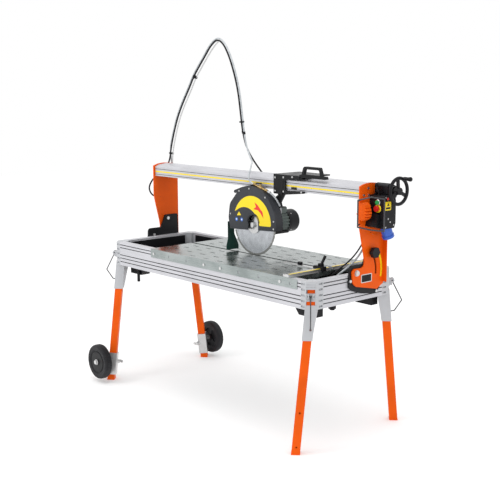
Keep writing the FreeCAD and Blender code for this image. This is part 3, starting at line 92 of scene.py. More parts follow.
class Shader:
    """A node material with one Principled shader, its textures in the node's own coordinates."""

    def __init__(self, name, roughness, metallic=0.0, **values):
        self.material = bpy.data.materials.new(name)
        self.material.use_nodes = True
        self.nodes = self.material.node_tree.nodes
        self.links = self.material.node_tree.links
        self.shader = self.nodes["Principled BSDF"]
        self.shader.inputs["Roughness"].default_value = roughness
        self.shader.inputs["Metallic"].default_value = metallic
        for key, value in values.items():
            self.shader.inputs[key.replace("_", " ")].default_value = value
        self.place = self.nodes.new("ShaderNodeTexCoord").outputs["Object"]

    def link(self, source, target):
        self.links.new(source, target)

    def noise(self, scale, detail=3.0, stretch=(1, 1, 1), distortion=0.0):
        mapping = self.nodes.new("ShaderNodeMapping")
        mapping.inputs["Scale"].default_value = stretch
        self.link(self.place, mapping.inputs["Vector"])
        texture = self.nodes.new("ShaderNodeTexNoise")
        texture.inputs["Scale"].default_value = scale
        texture.inputs["Detail"].default_value = detail
        texture.inputs["Distortion"].default_value = distortion
        self.link(mapping.outputs["Vector"], texture.inputs["Vector"])
        return texture.outputs["Fac"]

    def ramp(self, source, stops):
        ramp = self.nodes.new("ShaderNodeValToRGB")
        while len(ramp.color_ramp.elements) < len(stops):
            ramp.color_ramp.elements.new(0.5)
        for element, (position, colour) in zip(ramp.color_ramp.elements, stops):
            element.position = position
            element.color = (*colour, 1.0)
        self.link(source, ramp.inputs["Fac"])
        return ramp.outputs["Color"]

    def span(self, source, low, high, source_low=0.3, source_high=0.7):
        spread = self.nodes.new("ShaderNodeMapRange")
        spread.inputs["From Min"].default_value = source_low
        spread.inputs["From Max"].default_value = source_high
        spread.inputs["To Min"].default_value = low
        spread.inputs["To Max"].default_value = high
        self.link(source, spread.inputs["Value"])
        return spread.outputs["Result"]

    def math(self, operation, first, second):
        node = self.nodes.new("ShaderNodeMath")
        node.operation = operation
        for socket, value in zip(node.inputs, (first, second)):
            if isinstance(value, (int, float)):
                socket.default_value = value
            else:
                self.link(value, socket)
        return node.outputs["Value"]

    def mix(self, share, first, second):
        node = self.nodes.new("ShaderNodeMix")
        node.data_type = "RGBA"
        self.link(share, node.inputs["Factor"])
        for socket, value in ((node.inputs[6], first), (node.inputs[7], second)):
            if isinstance(value, tuple):
                socket.default_value = (*value, 1.0)
            else:
                self.link(value, socket)
        return node.outputs[2]

    def axis(self, letter):
        split = self.nodes.new("ShaderNodeSeparateXYZ")
        self.link(self.place, split.inputs["Vector"])
        return split.outputs[letter]

    def colour(self, source):
        self.link(source, self.shader.inputs["Base Color"])

    def roughness(self, source):
        self.link(source, self.shader.inputs["Roughness"])

    def bump(self, source, strength, distance):
        bump = self.nodes.new("ShaderNodeBump")
        bump.inputs["Strength"].default_value = strength
        bump.inputs["Distance"].default_value = distance
        self.link(source, bump.inputs["Height"])
        self.link(bump.outputs["Normal"], self.shader.inputs["Normal"])


SPINDLE_X, SPINDLE_Z = 108.0, 1051.0
LEG_X, AXLE_Z = 837.0, 130.0


def shade(colour, factor):
    return tuple(min(1.0, channel * factor) for channel in colour)


def moulded(name, colour, roughness, grain=900.0, spread=0.25, **values):
    """Plastic, rubber or powder coat: a fine grain, faint dust and uneven gloss."""
    made = Shader(name, roughness, **values)
    dust = made.noise(7.0, 5.0, distortion=0.4)
    made.colour(made.ramp(dust, [(0.30, shade(colour, 1 - spread)), (0.52, colour),
                                 (0.75, shade(colour, 1 + spread))]))
    made.roughness(made.span(made.noise(24.0, 4.0), roughness - 0.07, roughness + 0.10))
    made.bump(made.noise(grain, 2.0), 0.22, 0.0002)
    return made


def rolled(name, colour, roughness, stretch, metallic=0.9, fine=420.0, spread=0.10, **values):
    """Drawn or brushed metal: streaks along the way it was worked, with light smudges."""
    made = Shader(name, roughness, metallic=metallic, **values)
    streaks = made.noise(fine, 3.0, stretch)
    smudges = made.noise(5.0, 4.0)
    both = made.math("ADD", made.math("MULTIPLY", streaks, 0.55),
                     made.math("MULTIPLY", smudges, 0.45))
    made.colour(made.ramp(both, [(0.34, shade(colour, 1 - spread)), (0.5, colour),
                                 (0.66, shade(colour, 1 + spread))]))
    made.roughness(made.span(both, roughness - 0.09, roughness + 0.10, 0.38, 0.62))
    made.bump(streaks, 0.12, 0.0002)
    return made


ORANGE = (0.80, 0.10, 0.002)
YELLOW = (0.93, 0.70, 0.0)
LEVEL_STREAKS = (0.02, 0.02, 1.0)
DULL = {"Specular_IOR_Level": 0.2}

materials = {
    "anodised": rolled("anodised", (0.55, 0.55, 0.58), 0.46, LEVEL_STREAKS, metallic=0.3),
    "cast_white": moulded("cast_white", (0.47, 0.48, 0.50), 0.45, 600.0, 0.07),
    "orange_paint": moulded("orange_paint", ORANGE, 0.38, 1400.0, 0.10, Specular_IOR_Level=0.12),
    "black_plastic": moulded("black_plastic", (0.008, 0.008, 0.010), 0.42, 1100.0, 0.35, **DULL),
    "plated_steel": rolled("plated_steel", (0.62, 0.62, 0.62), 0.28, (1, 1, 1), fine=160.0),
    "dark_steel": rolled("dark_steel", (0.07, 0.07, 0.075), 0.34, (1, 1, 1), metallic=0.7, fine=160.0),
    "fence_aluminium": rolled("fence_aluminium", (0.62, 0.62, 0.62), 0.36, (1.0, 0.03, 1.0)),
    "black_paint": moulded("black_paint", (0.009, 0.0095, 0.011), 0.36, 1500.0, 0.30, **DULL),
    "guard_grey": moulded("guard_grey", (0.043, 0.046, 0.053), 0.44, 1000.0, 0.16, **DULL),
    "motor_green": moulded("motor_green", (0.13, 0.16, 0.15), 0.44, 1100.0, 0.14, **DULL),
    "flap_rubber": moulded("flap_rubber", (0.004, 0.042, 0.030), 0.50, 700.0, 0.3, **DULL),
    "brass": rolled("brass", (0.44, 0.31, 0.14), 0.32, (1, 1, 1), metallic=1.0, fine=150.0),
    "green_button": moulded("green_button", (0.02, 0.34, 0.09), 0.25, 900.0, 0.1),
    "red_button": moulded("red_button", (0.62, 0.02, 0.02), 0.25, 900.0, 0.1),
    "blue_inlet": moulded("blue_inlet", (0.025, 0.10, 0.48), 0.30, 900.0, 0.1),
    "cable_rubber": moulded("cable_rubber", (0.009, 0.009, 0.011), 0.50, 1500.0, 0.3, **DULL),
    "belt": moulded("belt", (0.015, 0.015, 0.015), 0.6, 800.0, 0.3),
    "yellow_plate": moulded("yellow_plate", YELLOW, 0.42, 1500.0, 0.05),
    "red_print": moulded("red_print", (0.78, 0.030, 0.018), 0.42, 1500.0, 0.06),
    "white_print": moulded("white_print", (0.80, 0.80, 0.80), 0.42, 1500.0, 0.04),
    "blue_print": moulded("blue_print", (0.02, 0.14, 0.55), 0.42, 1500.0, 0.06),
    "black_print": moulded("black_print", (0.008, 0.008, 0.009), 0.45, 1500.0, 0.2, **DULL),
}


def clear_hose_material():
    """Milky PVC hose with faint water marks along it."""
    made = Shader("clear_hose", 0.22, Specular_IOR_Level=0.6)
    haze = made.noise(60.0, 4.0)
    made.colour(made.ramp(haze, [(0.3, (0.36, 0.38, 0.40)), (0.7, (0.56, 0.59, 0.61))]))
    made.roughness(made.span(haze, 0.16, 0.34))
    made.bump(made.noise(300.0, 2.0), 0.15, 0.0002)
    return made


def table_material():
    """Brushed plate with long soft scratches and faint water stains."""
    made = Shader("table_steel", 0.24, metallic=0.9)
    brushing = made.noise(700.0, 2.0, (0.02, 1.0, 1.0))
    stains = made.noise(4.5, 5.0, (1.0, 0.8, 1.0), 0.8)
    both = made.math("ADD", made.math("MULTIPLY", brushing, 0.4), made.math("MULTIPLY", stains, 0.6))
    made.colour(made.ramp(both, [(0.36, (0.23, 0.26, 0.255)), (0.5, (0.31, 0.345, 0.34)),
                                 (0.64, (0.41, 0.445, 0.44))]))
    made.roughness(made.span(both, 0.16, 0.36, 0.38, 0.62))
    made.bump(brushing, 0.10, 0.0002)
    return made


def turned(made, x, z):
    """The distance from an axis along Y, and the angle about it."""
    across = made.math("SUBTRACT", made.axis("X"), mm(x - ORIGIN_X))
    up = made.math("SUBTRACT", made.axis("Z"), mm(z))
    square = made.math("ADD", made.math("MULTIPLY", across, across), made.math("MULTIPLY", up, up))
    return made.math("SQRT", square, 0.0), made.math("ARCTAN2", up, across)


def blade_material():
    """A ground steel core with a darker bonded rim."""
    made = Shader("blade_steel", 0.30, metallic=0.8)
    radius, _ = turned(made, SPINDLE_X, SPINDLE_Z)
    rings = made.math("SINE", made.math("MULTIPLY", radius, 5200.0), 0.0)
    core = made.ramp(made.noise(30.0), [(0.3, (0.44, 0.45, 0.48)), (0.7, (0.58, 0.60, 0.63))])
    made.colour(made.mix(made.span(radius, 0.0, 1.0, 0.1628, 0.1632), core, (0.26, 0.26, 0.25)))
    made.roughness(made.span(rings, 0.22, 0.36, -1.0, 1.0))
    made.bump(rings, 0.06, 0.0001)
    return made


def tyre_material():
    """Black rubber with cross treads round the outside and fine rings on the sidewalls."""
    made = Shader("tyre", 0.55, Specular_IOR_Level=0.25)
    radius, angle = turned(made, -LEG_X, AXLE_Z)
    treads = made.math("SINE", made.math("MULTIPLY", angle, 64.0), 0.0)
    rings = made.math("SINE", made.math("MULTIPLY", radius, 900.0), 0.0)
    outside = made.span(radius, 0.0, 1.0, 0.1035, 0.1055)
    relief = made.math("ADD", made.math("MULTIPLY", treads, outside), made.math("MULTIPLY", rings, 0.5))
    made.colour(made.ramp(made.noise(12.0, 5.0), [(0.3, (0.008, 0.008, 0.010)),
                                                  (0.7, (0.020, 0.020, 0.023))]))
    made.roughness(made.span(made.noise(30.0, 3.0), 0.45, 0.62))
    made.bump(relief, 0.8, 0.0012)
    return made


materials["clear_hose"] = clear_hose_material()
materials["table_steel"] = table_material()
materials["blade_steel"] = blade_material()
materials["tyre"] = tyre_material()

slot_of = {part["node"]: part["material_slot"] for part in frame["record"]["subparts"]}
for node, obj in frame["nodes"].items():
    finish = materials[slot_of[node]].material
    if not obj.data.materials:
        obj.data.materials.append(finish)
    for slot in obj.material_slots:
        slot.material = finish


# ---------------------------------------------------------------- mesh helpers

def keep(obj, finish, body):
    """Gives a new piece its material and the body it rides on."""
    obj.data.materials.clear()
    obj.data.materials.append(materials[finish].material)
    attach(obj, body)
    return obj


def piece(name, build, finish, body, bevel=0.0):
    """A mesh piece from a function that fills a bmesh."""
    mesh = bpy.data.meshes.new(name)
    made = bmesh.new()
    build(made)
    bmesh.ops.recalc_face_normals(made, faces=made.faces)
    made.to_mesh(mesh)
    made.free()
    obj = bpy.data.objects.new(name, mesh)
    bpy.context.scene.collection.objects.link(obj)
    if bevel:
        modifier = obj.modifiers.new("edges", "BEVEL")
        modifier.width = bevel
        modifier.segments = 2
        modifier.limit_method = "ANGLE"
    return keep(obj, finish, body)


def add_prism(made, outline, push):
    """Adds a prism: a closed outline of points, pushed along a vector."""
    low = [made.verts.new(p) for p in outline]
    high = [made.verts.new(p + push) for p in outline]
    made.faces.new(low)
    made.faces.new(list(reversed(high)))
    count = len(outline)
    for i in range(count):
        made.faces.new([low[i], high[i], high[(i + 1) % count], low[(i + 1) % count]])


def add_lathe(made, start, along, profile, sides=24):
    """Adds a turned shape: (distance along, radius) pairs about an axis."""
    along = along.normalized()
    across = along.orthogonal().normalized()
    other = along.cross(across)
    rings = []
    for distance, radius in profile:
        ring = []
        for i in range(sides):
            angle = 2 * math.pi * i / sides
            ring.append(made.verts.new(start + along * distance + (across * math.cos(angle)
                                       + other * math.sin(angle)) * radius))
        rings.append(ring)
    for low, high in zip(rings, rings[1:]):
        for i in range(sides):
            made.faces.new([low[i], low[(i + 1) % sides], high[(i + 1) % sides], high[i]])
    made.faces.new(rings[0])
    made.faces.new(list(reversed(rings[-1])))


def smooth(obj, angle=40.0):
    for face in obj.data.polygons:
        face.use_smooth = True
    obj.data.set_sharp_from_angle(angle=math.radians(angle))
    return obj


def screws(name, places, along, radius, height, finish, body):
    """Socket-head screws: a chamfered head with a sunk recess."""
    def build(made):
        for place in places:
            add_lathe(made, place, along, [(0, radius), (height * 0.75, radius), (height, radius * 0.85),
                                           (height, radius * 0.5), (height * 0.45, radius * 0.42)], 18)
    return smooth(piece(name, build, finish, body))


def block(name, boxes, finish, body, bevel=0.0):
    """Boxes given by their low and high corners, as one piece."""
    def build(made):
        for x, y, z in boxes:
            low = [at(x[0], y[0], z[0]), at(x[1], y[0], z[0]), at(x[1], y[1], z[0]), at(x[0], y[1], z[0])]
            add_prism(made, low, Vector((0, 0, mm(z[1] - z[0]))))
    return piece(name, build, finish, body, bevel)


def lathes(name, turns, finish, body, sides=24):
    """Turned shapes as one piece: (start, direction, profile in millimetres) each."""
    def build(made):
        for start, along, profile in turns:
            add_lathe(made, at(*start), Vector(along), [(mm(a), mm(r)) for a, r in profile], sides)
    return smooth(piece(name, build, finish, body))


# ---------------------------------------------------------------- cords

WHIP_ROD = [(-897, 178, 1210), (-905, 183, 1330), (-894, 184, 1420), (-859, 182, 1516),
            (-806, 176, 1626), (-736, 170, 1722), (-668, 164, 1803), (-612, 158, 1877),
            (-546, 152, 1940), (-478, 146, 2003), (-418, 140, 2056), (-362, 136, 2090)]
WHIP_CABLE = [(-883.4, 67.2, 1121.3), (-904, 48, 1124), (-910, 18, 1134), (-911, -6, 1178),
              (-911, 14, 1222), (-911, 62, 1262), (-911, 128, 1296), (-915, 170, 1346),
              (-903, 173, 1430), (-868, 171, 1524), (-814, 165, 1634), (-745, 159, 1730),
              (-676, 153, 1812), (-620, 147, 1886), (-554, 141, 1949), (-486, 135, 2012),
              (-430, 130, 2066), (-366, 127, 2102), (-314, 128, 2078), (-268, 132, 2010),
              (-228, 138, 1910), (-203, 148, 1800), (-196, 160, 1680), (-196, 176, 1560),
              (-182, 196, 1460), (-140, 214, 1388), (-80, 226, 1322), (-22, 232, 1270),
              (24, 230, 1236), (60, 226, 1212), (86, 217, 1192), (99, 211, 1164),
              (101, 210, 1135.4)]
WHIP_HOSE = [(-905, 190, 1236), (-909, 190, 1290), (-918, 184, 1356), (-915, 175, 1434),
             (-879, 173, 1529), (-825, 167, 1640), (-755, 161, 1738), (-686, 155, 1820),
             (-629, 149, 1894), (-563, 143, 1958), (-495, 137, 2021), (-437, 132, 2076),
             (-366, 129, 2114), (-306, 130, 2088), (-257, 134, 2016), (-216, 140, 1914),
             (-191, 150, 1802), (-184, 162, 1680), (-184, 178, 1560), (-170, 184, 1470),
             (-128, 176, 1414), (-80, 150, 1388), (-38, 110, 1382), (0, 72, 1384),
             (42, 34, 1378), (64, 4, 1352), (64, -9, 1318), (78, -8, 1292), (107, -8, 1283.3)]
HEAD_HOSE = [(225.5, -8, 1250.1), (248.6, -8, 1243.6), (270, 4, 1223), (287, 20, 1186),
             (294, 31, 1154), (288, 31, 1114), (288, 31, 1070)]
PUMP_HOSE = [(768, -60, 790), (768, -58, 826), (786, -38, 860), (808, -4, 890), (828, 34, 922),
             (842, 70, 962), (850, 98, 1006), (862, 112, 1046), (886, 122, 1076)]
PUMP_CABLE = [(748, -76, 790), (748, -72, 830), (768, -50, 868), (794, -16, 900), (818, 20, 934),
              (836, 54, 974), (848, 80, 1016), (862, 92, 1056), (888, 102, 1086)]
HANDOVER_Z = 1560.0


def spline_curve(name, route):
    """A smooth curve that a cord's route points pull into shape."""
    curve = bpy.data.curves.new(name, "CURVE")
    curve.dimensions = "3D"
    curve.resolution_u = 10
    spline = curve.splines.new("NURBS")
    spline.points.add(len(route) - 1)
    for point, place in zip(spline.points, route):
        point.co = (*at(*place), 1.0)
    spline.order_u = 3
    spline.use_endpoint_u = True
    obj = bpy.data.objects.new(name, curve)
    bpy.context.scene.collection.objects.link(obj)
    return obj


def centreline(route):
    """The points of the route's smooth line."""
    obj = spline_curve("line", route)
    mesh = bpy.data.meshes.new_from_object(obj)
    points = [v.co.copy() for v in mesh.vertices]
    bpy.data.meshes.remove(mesh)
    bpy.data.objects.remove(obj)
    if (points[0] - at(*route[0])).length > (points[-1] - at(*route[0])).length:
        points.reverse()
    return points


def tube_mesh(name, points, radius, finish, sides=14):
    """A round tube round a line of points, with closed ends."""
    made = bmesh.new()
    ring_before = None
    across = (points[1] - points[0]).orthogonal().normalized()
    for i, point in enumerate(points):
        ahead = (points[min(i + 1, len(points) - 1)] - points[max(i - 1, 0)]).normalized()
        across = (across - ahead * across.dot(ahead)).normalized()
        other = ahead.cross(across)
        ring = []
        for k in range(sides):
            angle = 2 * math.pi * k / sides
            ring.append(made.verts.new(point + (across * math.cos(angle)
                                                + other * math.sin(angle)) * mm(radius)))
        if ring_before:
            for k in range(sides):
                made.faces.new([ring_before[k], ring_before[(k + 1) % sides],
                                ring[(k + 1) % sides], ring[k]])
        else:
            made.faces.new(ring)
        ring_before = ring
    made.faces.new(list(reversed(ring_before)))
    bmesh.ops.recalc_face_normals(made, faces=made.faces)
    mesh = bpy.data.meshes.new(name)
    made.to_mesh(mesh)
    made.free()
    obj = bpy.data.objects.new(name, mesh)
    bpy.context.scene.collection.objects.link(obj)
    obj.data.materials.append(materials[finish].material)
    return smooth(obj)


def whip_line(node, route, radius, finish):
    """A cord of the whip: one piece from column to carriage, one from there to the head."""
    points = centreline(route)
    falling = [i for i, p in enumerate(points) if p.x > at(-300, 0, 0).x and p.z < mm(HANDOVER_Z)]
    split = falling[0]
    loop, drop = points[:split + 1], points[split:]
    first = tube_mesh(node + "_loop", loop, radius, finish)
    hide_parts(node)
    band = [(-0.008, mm(radius)), (-0.008, mm(radius + 2)), (0.008, mm(radius + 2)), (0.008, mm(radius))]
    along = drop[1] - drop[0]
    joint = smooth(piece(node + "_band", lambda made: add_lathe(made, drop[0], along, band),
                         "black_plastic", "carriage"))
    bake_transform(first)
    second = tube_mesh(node + "_drop", drop, radius, finish)
    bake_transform(second)
    return points


def pump_line(node, route, radius, finish):
    """A line from the pump in the tank to the right column."""
    points = centreline(route)
    obj = tube_mesh(node + "_line", points, radius, finish)
    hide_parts(node)
    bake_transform(obj)


def springy_rod():
    """The whip's rod with its clamp, curved along the cords it carries."""
    points = centreline(WHIP_ROD)
    obj = tube_mesh("whip_spring", points, 4.0, "plated_steel")
    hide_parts("whip_rod")
    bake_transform(obj)
    block("whip_clamp", [((-911, -889.1), (160.5, 198.5), (1206.5, 1235.8))], "plated_steel", "bridge",
          bevel=0.0015)
    screws("whip_clamp_screws", [at(-911, y, 1221) for y in (168, 191)], Vector((-1, 0, 0)),
           mm(4.5), mm(3.5), "black_paint", "bridge")


TIE_THICK, TIE_WIDTH = 1.5, 8.0


def cable_tie(name, place, along, radius):
    """A band round the whip's cords with its small square lock."""
    way = Vector(along).normalized()
    side = way.orthogonal().normalized()
    up = way.cross(side)
    bore, outside, width = mm(radius - TIE_THICK), mm(radius), mm(TIE_WIDTH)
    corner = at(*place) + side * outside - up * mm(3.5) - way * mm(4.5)
    made = bmesh.new()
    add_lathe(made, at(*place) - way * width / 2, way,
              [(0, bore), (0, outside), (width, outside), (width, bore)])
    add_prism(made, [corner, corner + up * mm(7), corner + up * mm(7) + way * mm(9),
                     corner + way * mm(9)], side * mm(4))
    obj = bpy.data.objects.new(name, bpy.data.meshes.new(name))
    bpy.context.scene.collection.objects.link(obj)
    bmesh.ops.recalc_face_normals(made, faces=made.faces)
    made.to_mesh(obj.data)
    made.free()
    obj.data.materials.append(materials["black_plastic"].material)
    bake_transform(obj)
    return smooth(obj)


def cords():
    """The hoses and cables, the rod that carries them and the bands round them."""
    whip_line("whip_cable", WHIP_CABLE, 5.0, "cable_rubber")
    whip_line("whip_hose", WHIP_HOSE, 5.0, "clear_hose")
    springy_rod()
    pump_line("pump_hose", PUMP_HOSE, 5.0, "clear_hose")
    pump_line("pump_cable", PUMP_CABLE, 4.0, "cable_rubber")
    points = centreline(HEAD_HOSE)
    obj = tube_mesh("head_hose_line", points, 5.0, "clear_hose")
    keep(obj, "clear_hose", "head")
    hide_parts("head_hose")
    cable_tie("tie_low", (-909, 178, 1396), (0.2, 0, 1), 14)
    cable_tie("tie_rise", (-616, 152, 1884), (0.7, 0, 0.8), 14)
    cable_tie("tie_fall", (-190, 169, 1618), (0, 0.1, -1), 13)


cords()

SLEEVE = [(0, 12.5), (6, 12.5), (7, 10.5), (12, 9.5), (14, 10), (18, 8.5), (20, 9), (24, 7.6),
          (30, 6.4), (30, 4.5)]
lathes("motor_gland", [((101, 210, 1135.1), (-0.07, 0.03, 1), SLEEVE)], "black_plastic", "head")
lathes("column_gland", [((-889.1, 62.2, 1121.9), (-0.73, -0.68, 0.1), SLEEVE)], "black_plastic", "bridge")
lathes("pump_collars", [((768, -60, 776), (0, 0, 1), [(0, 9), (0, 11), (9, 11), (9, 9)]),
                        ((748, -76, 778), (0, 0, 1), [(0, 8), (0, 10), (8, 9), (12, 6), (12, 4)])],
       "black_plastic", "frame")


# ---------------------------------------------------------------- floor and light

def studio():
    """A plain pale floor, an even white surround and two soft lamps."""
    size = 14.0
    mesh = bpy.data.meshes.new("floor")
    mesh.from_pydata([(-size, -size, 0), (size, -size, 0), (size, size, 0), (-size, size, 0)], [],
                     [(0, 1, 2, 3)])
    floor = bpy.data.objects.new("floor", mesh)
    bpy.context.scene.collection.objects.link(floor)
    pale = moulded("floor", (0.90, 0.90, 0.90), 0.9, 60.0, 0.005, Emission_Strength=0.16,
                   Emission_Color=(1, 1, 1, 1), Specular_IOR_Level=0.0)
    floor.data.materials.append(pale.material)

    world = bpy.data.worlds.new("studio")
    world.use_nodes = True
    world.node_tree.nodes["Background"].inputs["Color"].default_value = (1.0, 1.0, 1.0, 1.0)
    world.node_tree.nodes["Background"].inputs["Strength"].default_value = 1.0
    bpy.context.scene.world = world

    for name, place, size, power in (("key", (-2.0, -4.5, 4.0), 2.0, 60.0),
                                     ("top", (0.5, -0.5, 5.0), 2.5, 40.0)):
        lamp = bpy.data.lights.new(name, "AREA")
        lamp.energy = power
        lamp.size = size
        obj = bpy.data.objects.new(name, lamp)
        obj.location = place
        aim = Vector((0, 0, 0.9)) - obj.location
        obj.rotation_euler = aim.to_track_quat("-Z", "Y").to_euler()
        bpy.context.scene.collection.objects.link(obj)


studio()
bpy.context.scene.view_settings.view_transform = "Standard"


# ---------------------------------------------------------------- frame, table and fence details

FRAME_BOTTOM = 731.0
GROOVES = (23.0, 45.0, 65.0, 110.0, 128.0)
RAIL_X, RAIL_Y = 799.0, 221.0


def groove_shadows():
    """Painted shadow: a dark strip at the bottom of each groove in the rails, where shade falls."""
    boxes = []
    for height in GROOVES:
        z = (FRAME_BOTTOM + height - 1.6, FRAME_BOTTOM + height + 1.6)
        for sign in (-1, 1):
            boxes.append(((-RAIL_X, RAIL_X), tuple(sorted((sign * 308.1, sign * 309.6))), z))
            boxes.append((tuple(sorted((sign * 866.6, sign * 868.1))), (-RAIL_Y, RAIL_Y), z))
    block("groove_shadows", boxes, "black_print", "frame")


def ruler(name, across, along, axis, top, body, step=10.0, lift=0.45):
    """A yellow rule on a flat top with black marks, longer at every fifth."""
    low, high = along
    plate = (across, along) if axis == "y" else (along, across)
    block(name, [(*plate, (top, top + lift))], "yellow_plate", body)
    marks = []
    count = int((high - low - 6) / step)
    for i in range(count):
        place = low + 3 + step * i
        reach = across[0] + (8.0 if i % 5 == 0 else 4.5)
        line, span = (place, place + 1.0), (across[0] + 0.6, reach)
        plate = (span, line) if axis == "y" else (line, span)
        marks.append((*plate, (top + lift - 0.02, top + lift + 0.05)))
    block(name + "_marks", marks, "black_print", body)


TABLE_TOP, FENCE_TOP = 877.0, 891.0
SLOT_FIRST, SLOT_PITCH, SLOT_COLUMNS = -353.0, 121.0, 9
SLOT_HALF_LENGTH, SLOT_HALF_WIDTH = 23.0, 4.5
SLOT_ROWS = [sign * y for sign in (-1, 1) for y in (62.0, 134.0, 206.0, 278.0)]


def slot_shadows():
    """A dark sliver low in each slot of the table."""
    boxes = []
    for k in range(SLOT_COLUMNS):
        middle = SLOT_FIRST + SLOT_PITCH * k
        for y in SLOT_ROWS:
            boxes.append(((middle - SLOT_HALF_LENGTH, middle + SLOT_HALF_LENGTH),
                          (y - SLOT_HALF_WIDTH, y + SLOT_HALF_WIDTH),
                          (TABLE_TOP - 3.6, TABLE_TOP - 3.1)))
    block("slot_shadows", boxes, "black_print", "frame")


def table_details():
    """The rules on the fence and the screws of the table and the fence."""
    ruler("fence_rule_front", (698, 710), (-300, -16), "y", FENCE_TOP, "frame")
    ruler("fence_rule_rear", (698, 710), (16, 292), "y", FENCE_TOP, "frame")
    places = [at(x, y, TABLE_TOP) for x in (-455, 126) for y in (-298, -22, 22, 298)]
    screws("table_screws", places, Vector((0, 0, 1)), mm(5.5), mm(1.6), "plated_steel", "frame")
    fence = [at(684, y, FENCE_TOP) for y in (-296, -120, 60, 180, 288)]
    screws("fence_screws", fence, Vector((0, 0, 1)), mm(4.5), mm(0.4), "black_paint", "frame")
    slot_shadows()


CORNER_SIGNS = ((1, -1), (1, 1), (-1, -1), (-1, 1))
POST_FACE_X, POST_FACE_Y = 853.0, 294.5
DIAGONAL = math.sqrt(0.5)


def post_point(signs, out, along, z):
    """A point off the slanted face of a corner post."""
    x = POST_FACE_X + (out + along) * DIAGONAL
    y = POST_FACE_Y + (out - along) * DIAGONAL
    return at(signs[0] * x, signs[1] * y, z)


def post_details():
    """The screws of the wire locks' lugs."""
    for number, signs in enumerate(CORNER_SIGNS):
        aim = Vector((signs[0], signs[1], 0)).normalized()
        places = [post_point(signs, 4.0, along, 812.0) for along in (-19.5, 19.5)]
        places += [post_point(signs, 4.0, along, 780.0) for along in (-19.5, 19.5)]
        screws(f"lug_screws_{number}", places, aim, mm(3.2), mm(2.4), "plated_steel", "frame")


groove_shadows()
table_details()
post_details()


# ---------------------------------------------------------------- bridge details

COLUMN_FACE = 889.0
TILT_Z = 883.0


def face_x(name, outline, x, thick, finish, body):
    """A flat print or plate on a face that looks along X, from (y, z) corners."""
    def build(made):
        add_prism(made, [at(x, y, z) for y, z in outline], Vector((mm(thick), 0, 0)))
    return piece(name, build, finish, body)


def arc(centre, radius, start, end, steps):
    """Points along an arc, from one angle to another in degrees."""
    points = []
    for i in range(steps + 1):
        angle = math.radians(start + (end - start) * i / steps)
        points.append((centre[0] + radius * math.cos(angle), centre[1] + radius * math.sin(angle)))
    return points


BEAM_HALF = 879.0
RULE_LOW, RULE_HIGH = 1284.4, 1294.0
RULE_MARKS, RULE_STEP = 87, 20.0


def beam_details():
    """The yellow rule along the beam's front, its marks, and the shadows in two grooves."""
    x = (1 - BEAM_HALF, BEAM_HALF - 1)
    block("beam_rule", [(x, (28.15, 28.75), (RULE_LOW, RULE_HIGH))], "yellow_plate", "bridge")
    marks = []
    foot = RULE_LOW + 0.2
    for i in range(RULE_MARKS):
        place = x[0] + 10 + RULE_STEP * i
        height = 5.0 if i % 5 == 0 else 2.5
        marks.append(((place, place + 0.9), (28.05, 28.2), (foot, foot + height)))
    block("beam_rule_marks", marks, "black_print", "bridge")
    lines = [((-BEAM_HALF, BEAM_HALF), (28.6, 29.9), (z + 0.3, z + 2.7)) for z in (1270, 1304)]
    block("beam_shadows", lines, "black_print", "bridge")


def tilt_ticks(made):
    """Black marks on the tilt scale, longer at every third."""
    for i in range(19):
        turn = math.radians(-11 + 2 * i)
        inner = 188.0 if i % 3 == 0 else 191.0
        across = Vector((0, -math.sin(turn), math.cos(turn))) * mm(0.5)
        ends = [at(COLUMN_FACE + 0.5, r * math.cos(turn), TILT_Z + r * math.sin(turn))
                for r in (inner, 195.5)]
        add_prism(made, [ends[0] - across, ends[1] - across, ends[1] + across, ends[0] + across],
                  Vector((mm(0.1), 0, 0)))


def column_details():
    """The yellow tilt scale and a blank rating plate on the right column."""
    scale = arc((0, TILT_Z), 196, -12, 24, 24) + arc((0, TILT_Z), 184, 24, -12, 24)
    face_x("tilt_scale", scale, COLUMN_FACE, 0.5, "yellow_plate", "bridge")
    piece("tilt_scale_marks", tilt_ticks, "black_print", "bridge")
    plate = [(38, 826), (112, 826), (116, 830), (116, 866), (112, 870), (38, 870), (34, 866), (34, 830)]
    face_x("rating_plate", plate, COLUMN_FACE, 0.8, "plated_steel", "bridge")
    field = [(39, 830), (111, 830), (111, 866), (39, 866)]
    face_x("rating_field", field, COLUMN_FACE + 0.8, 0.15, "black_print", "bridge")


BOX_SIDE = 990.0
BOX_FRONT = 90.0


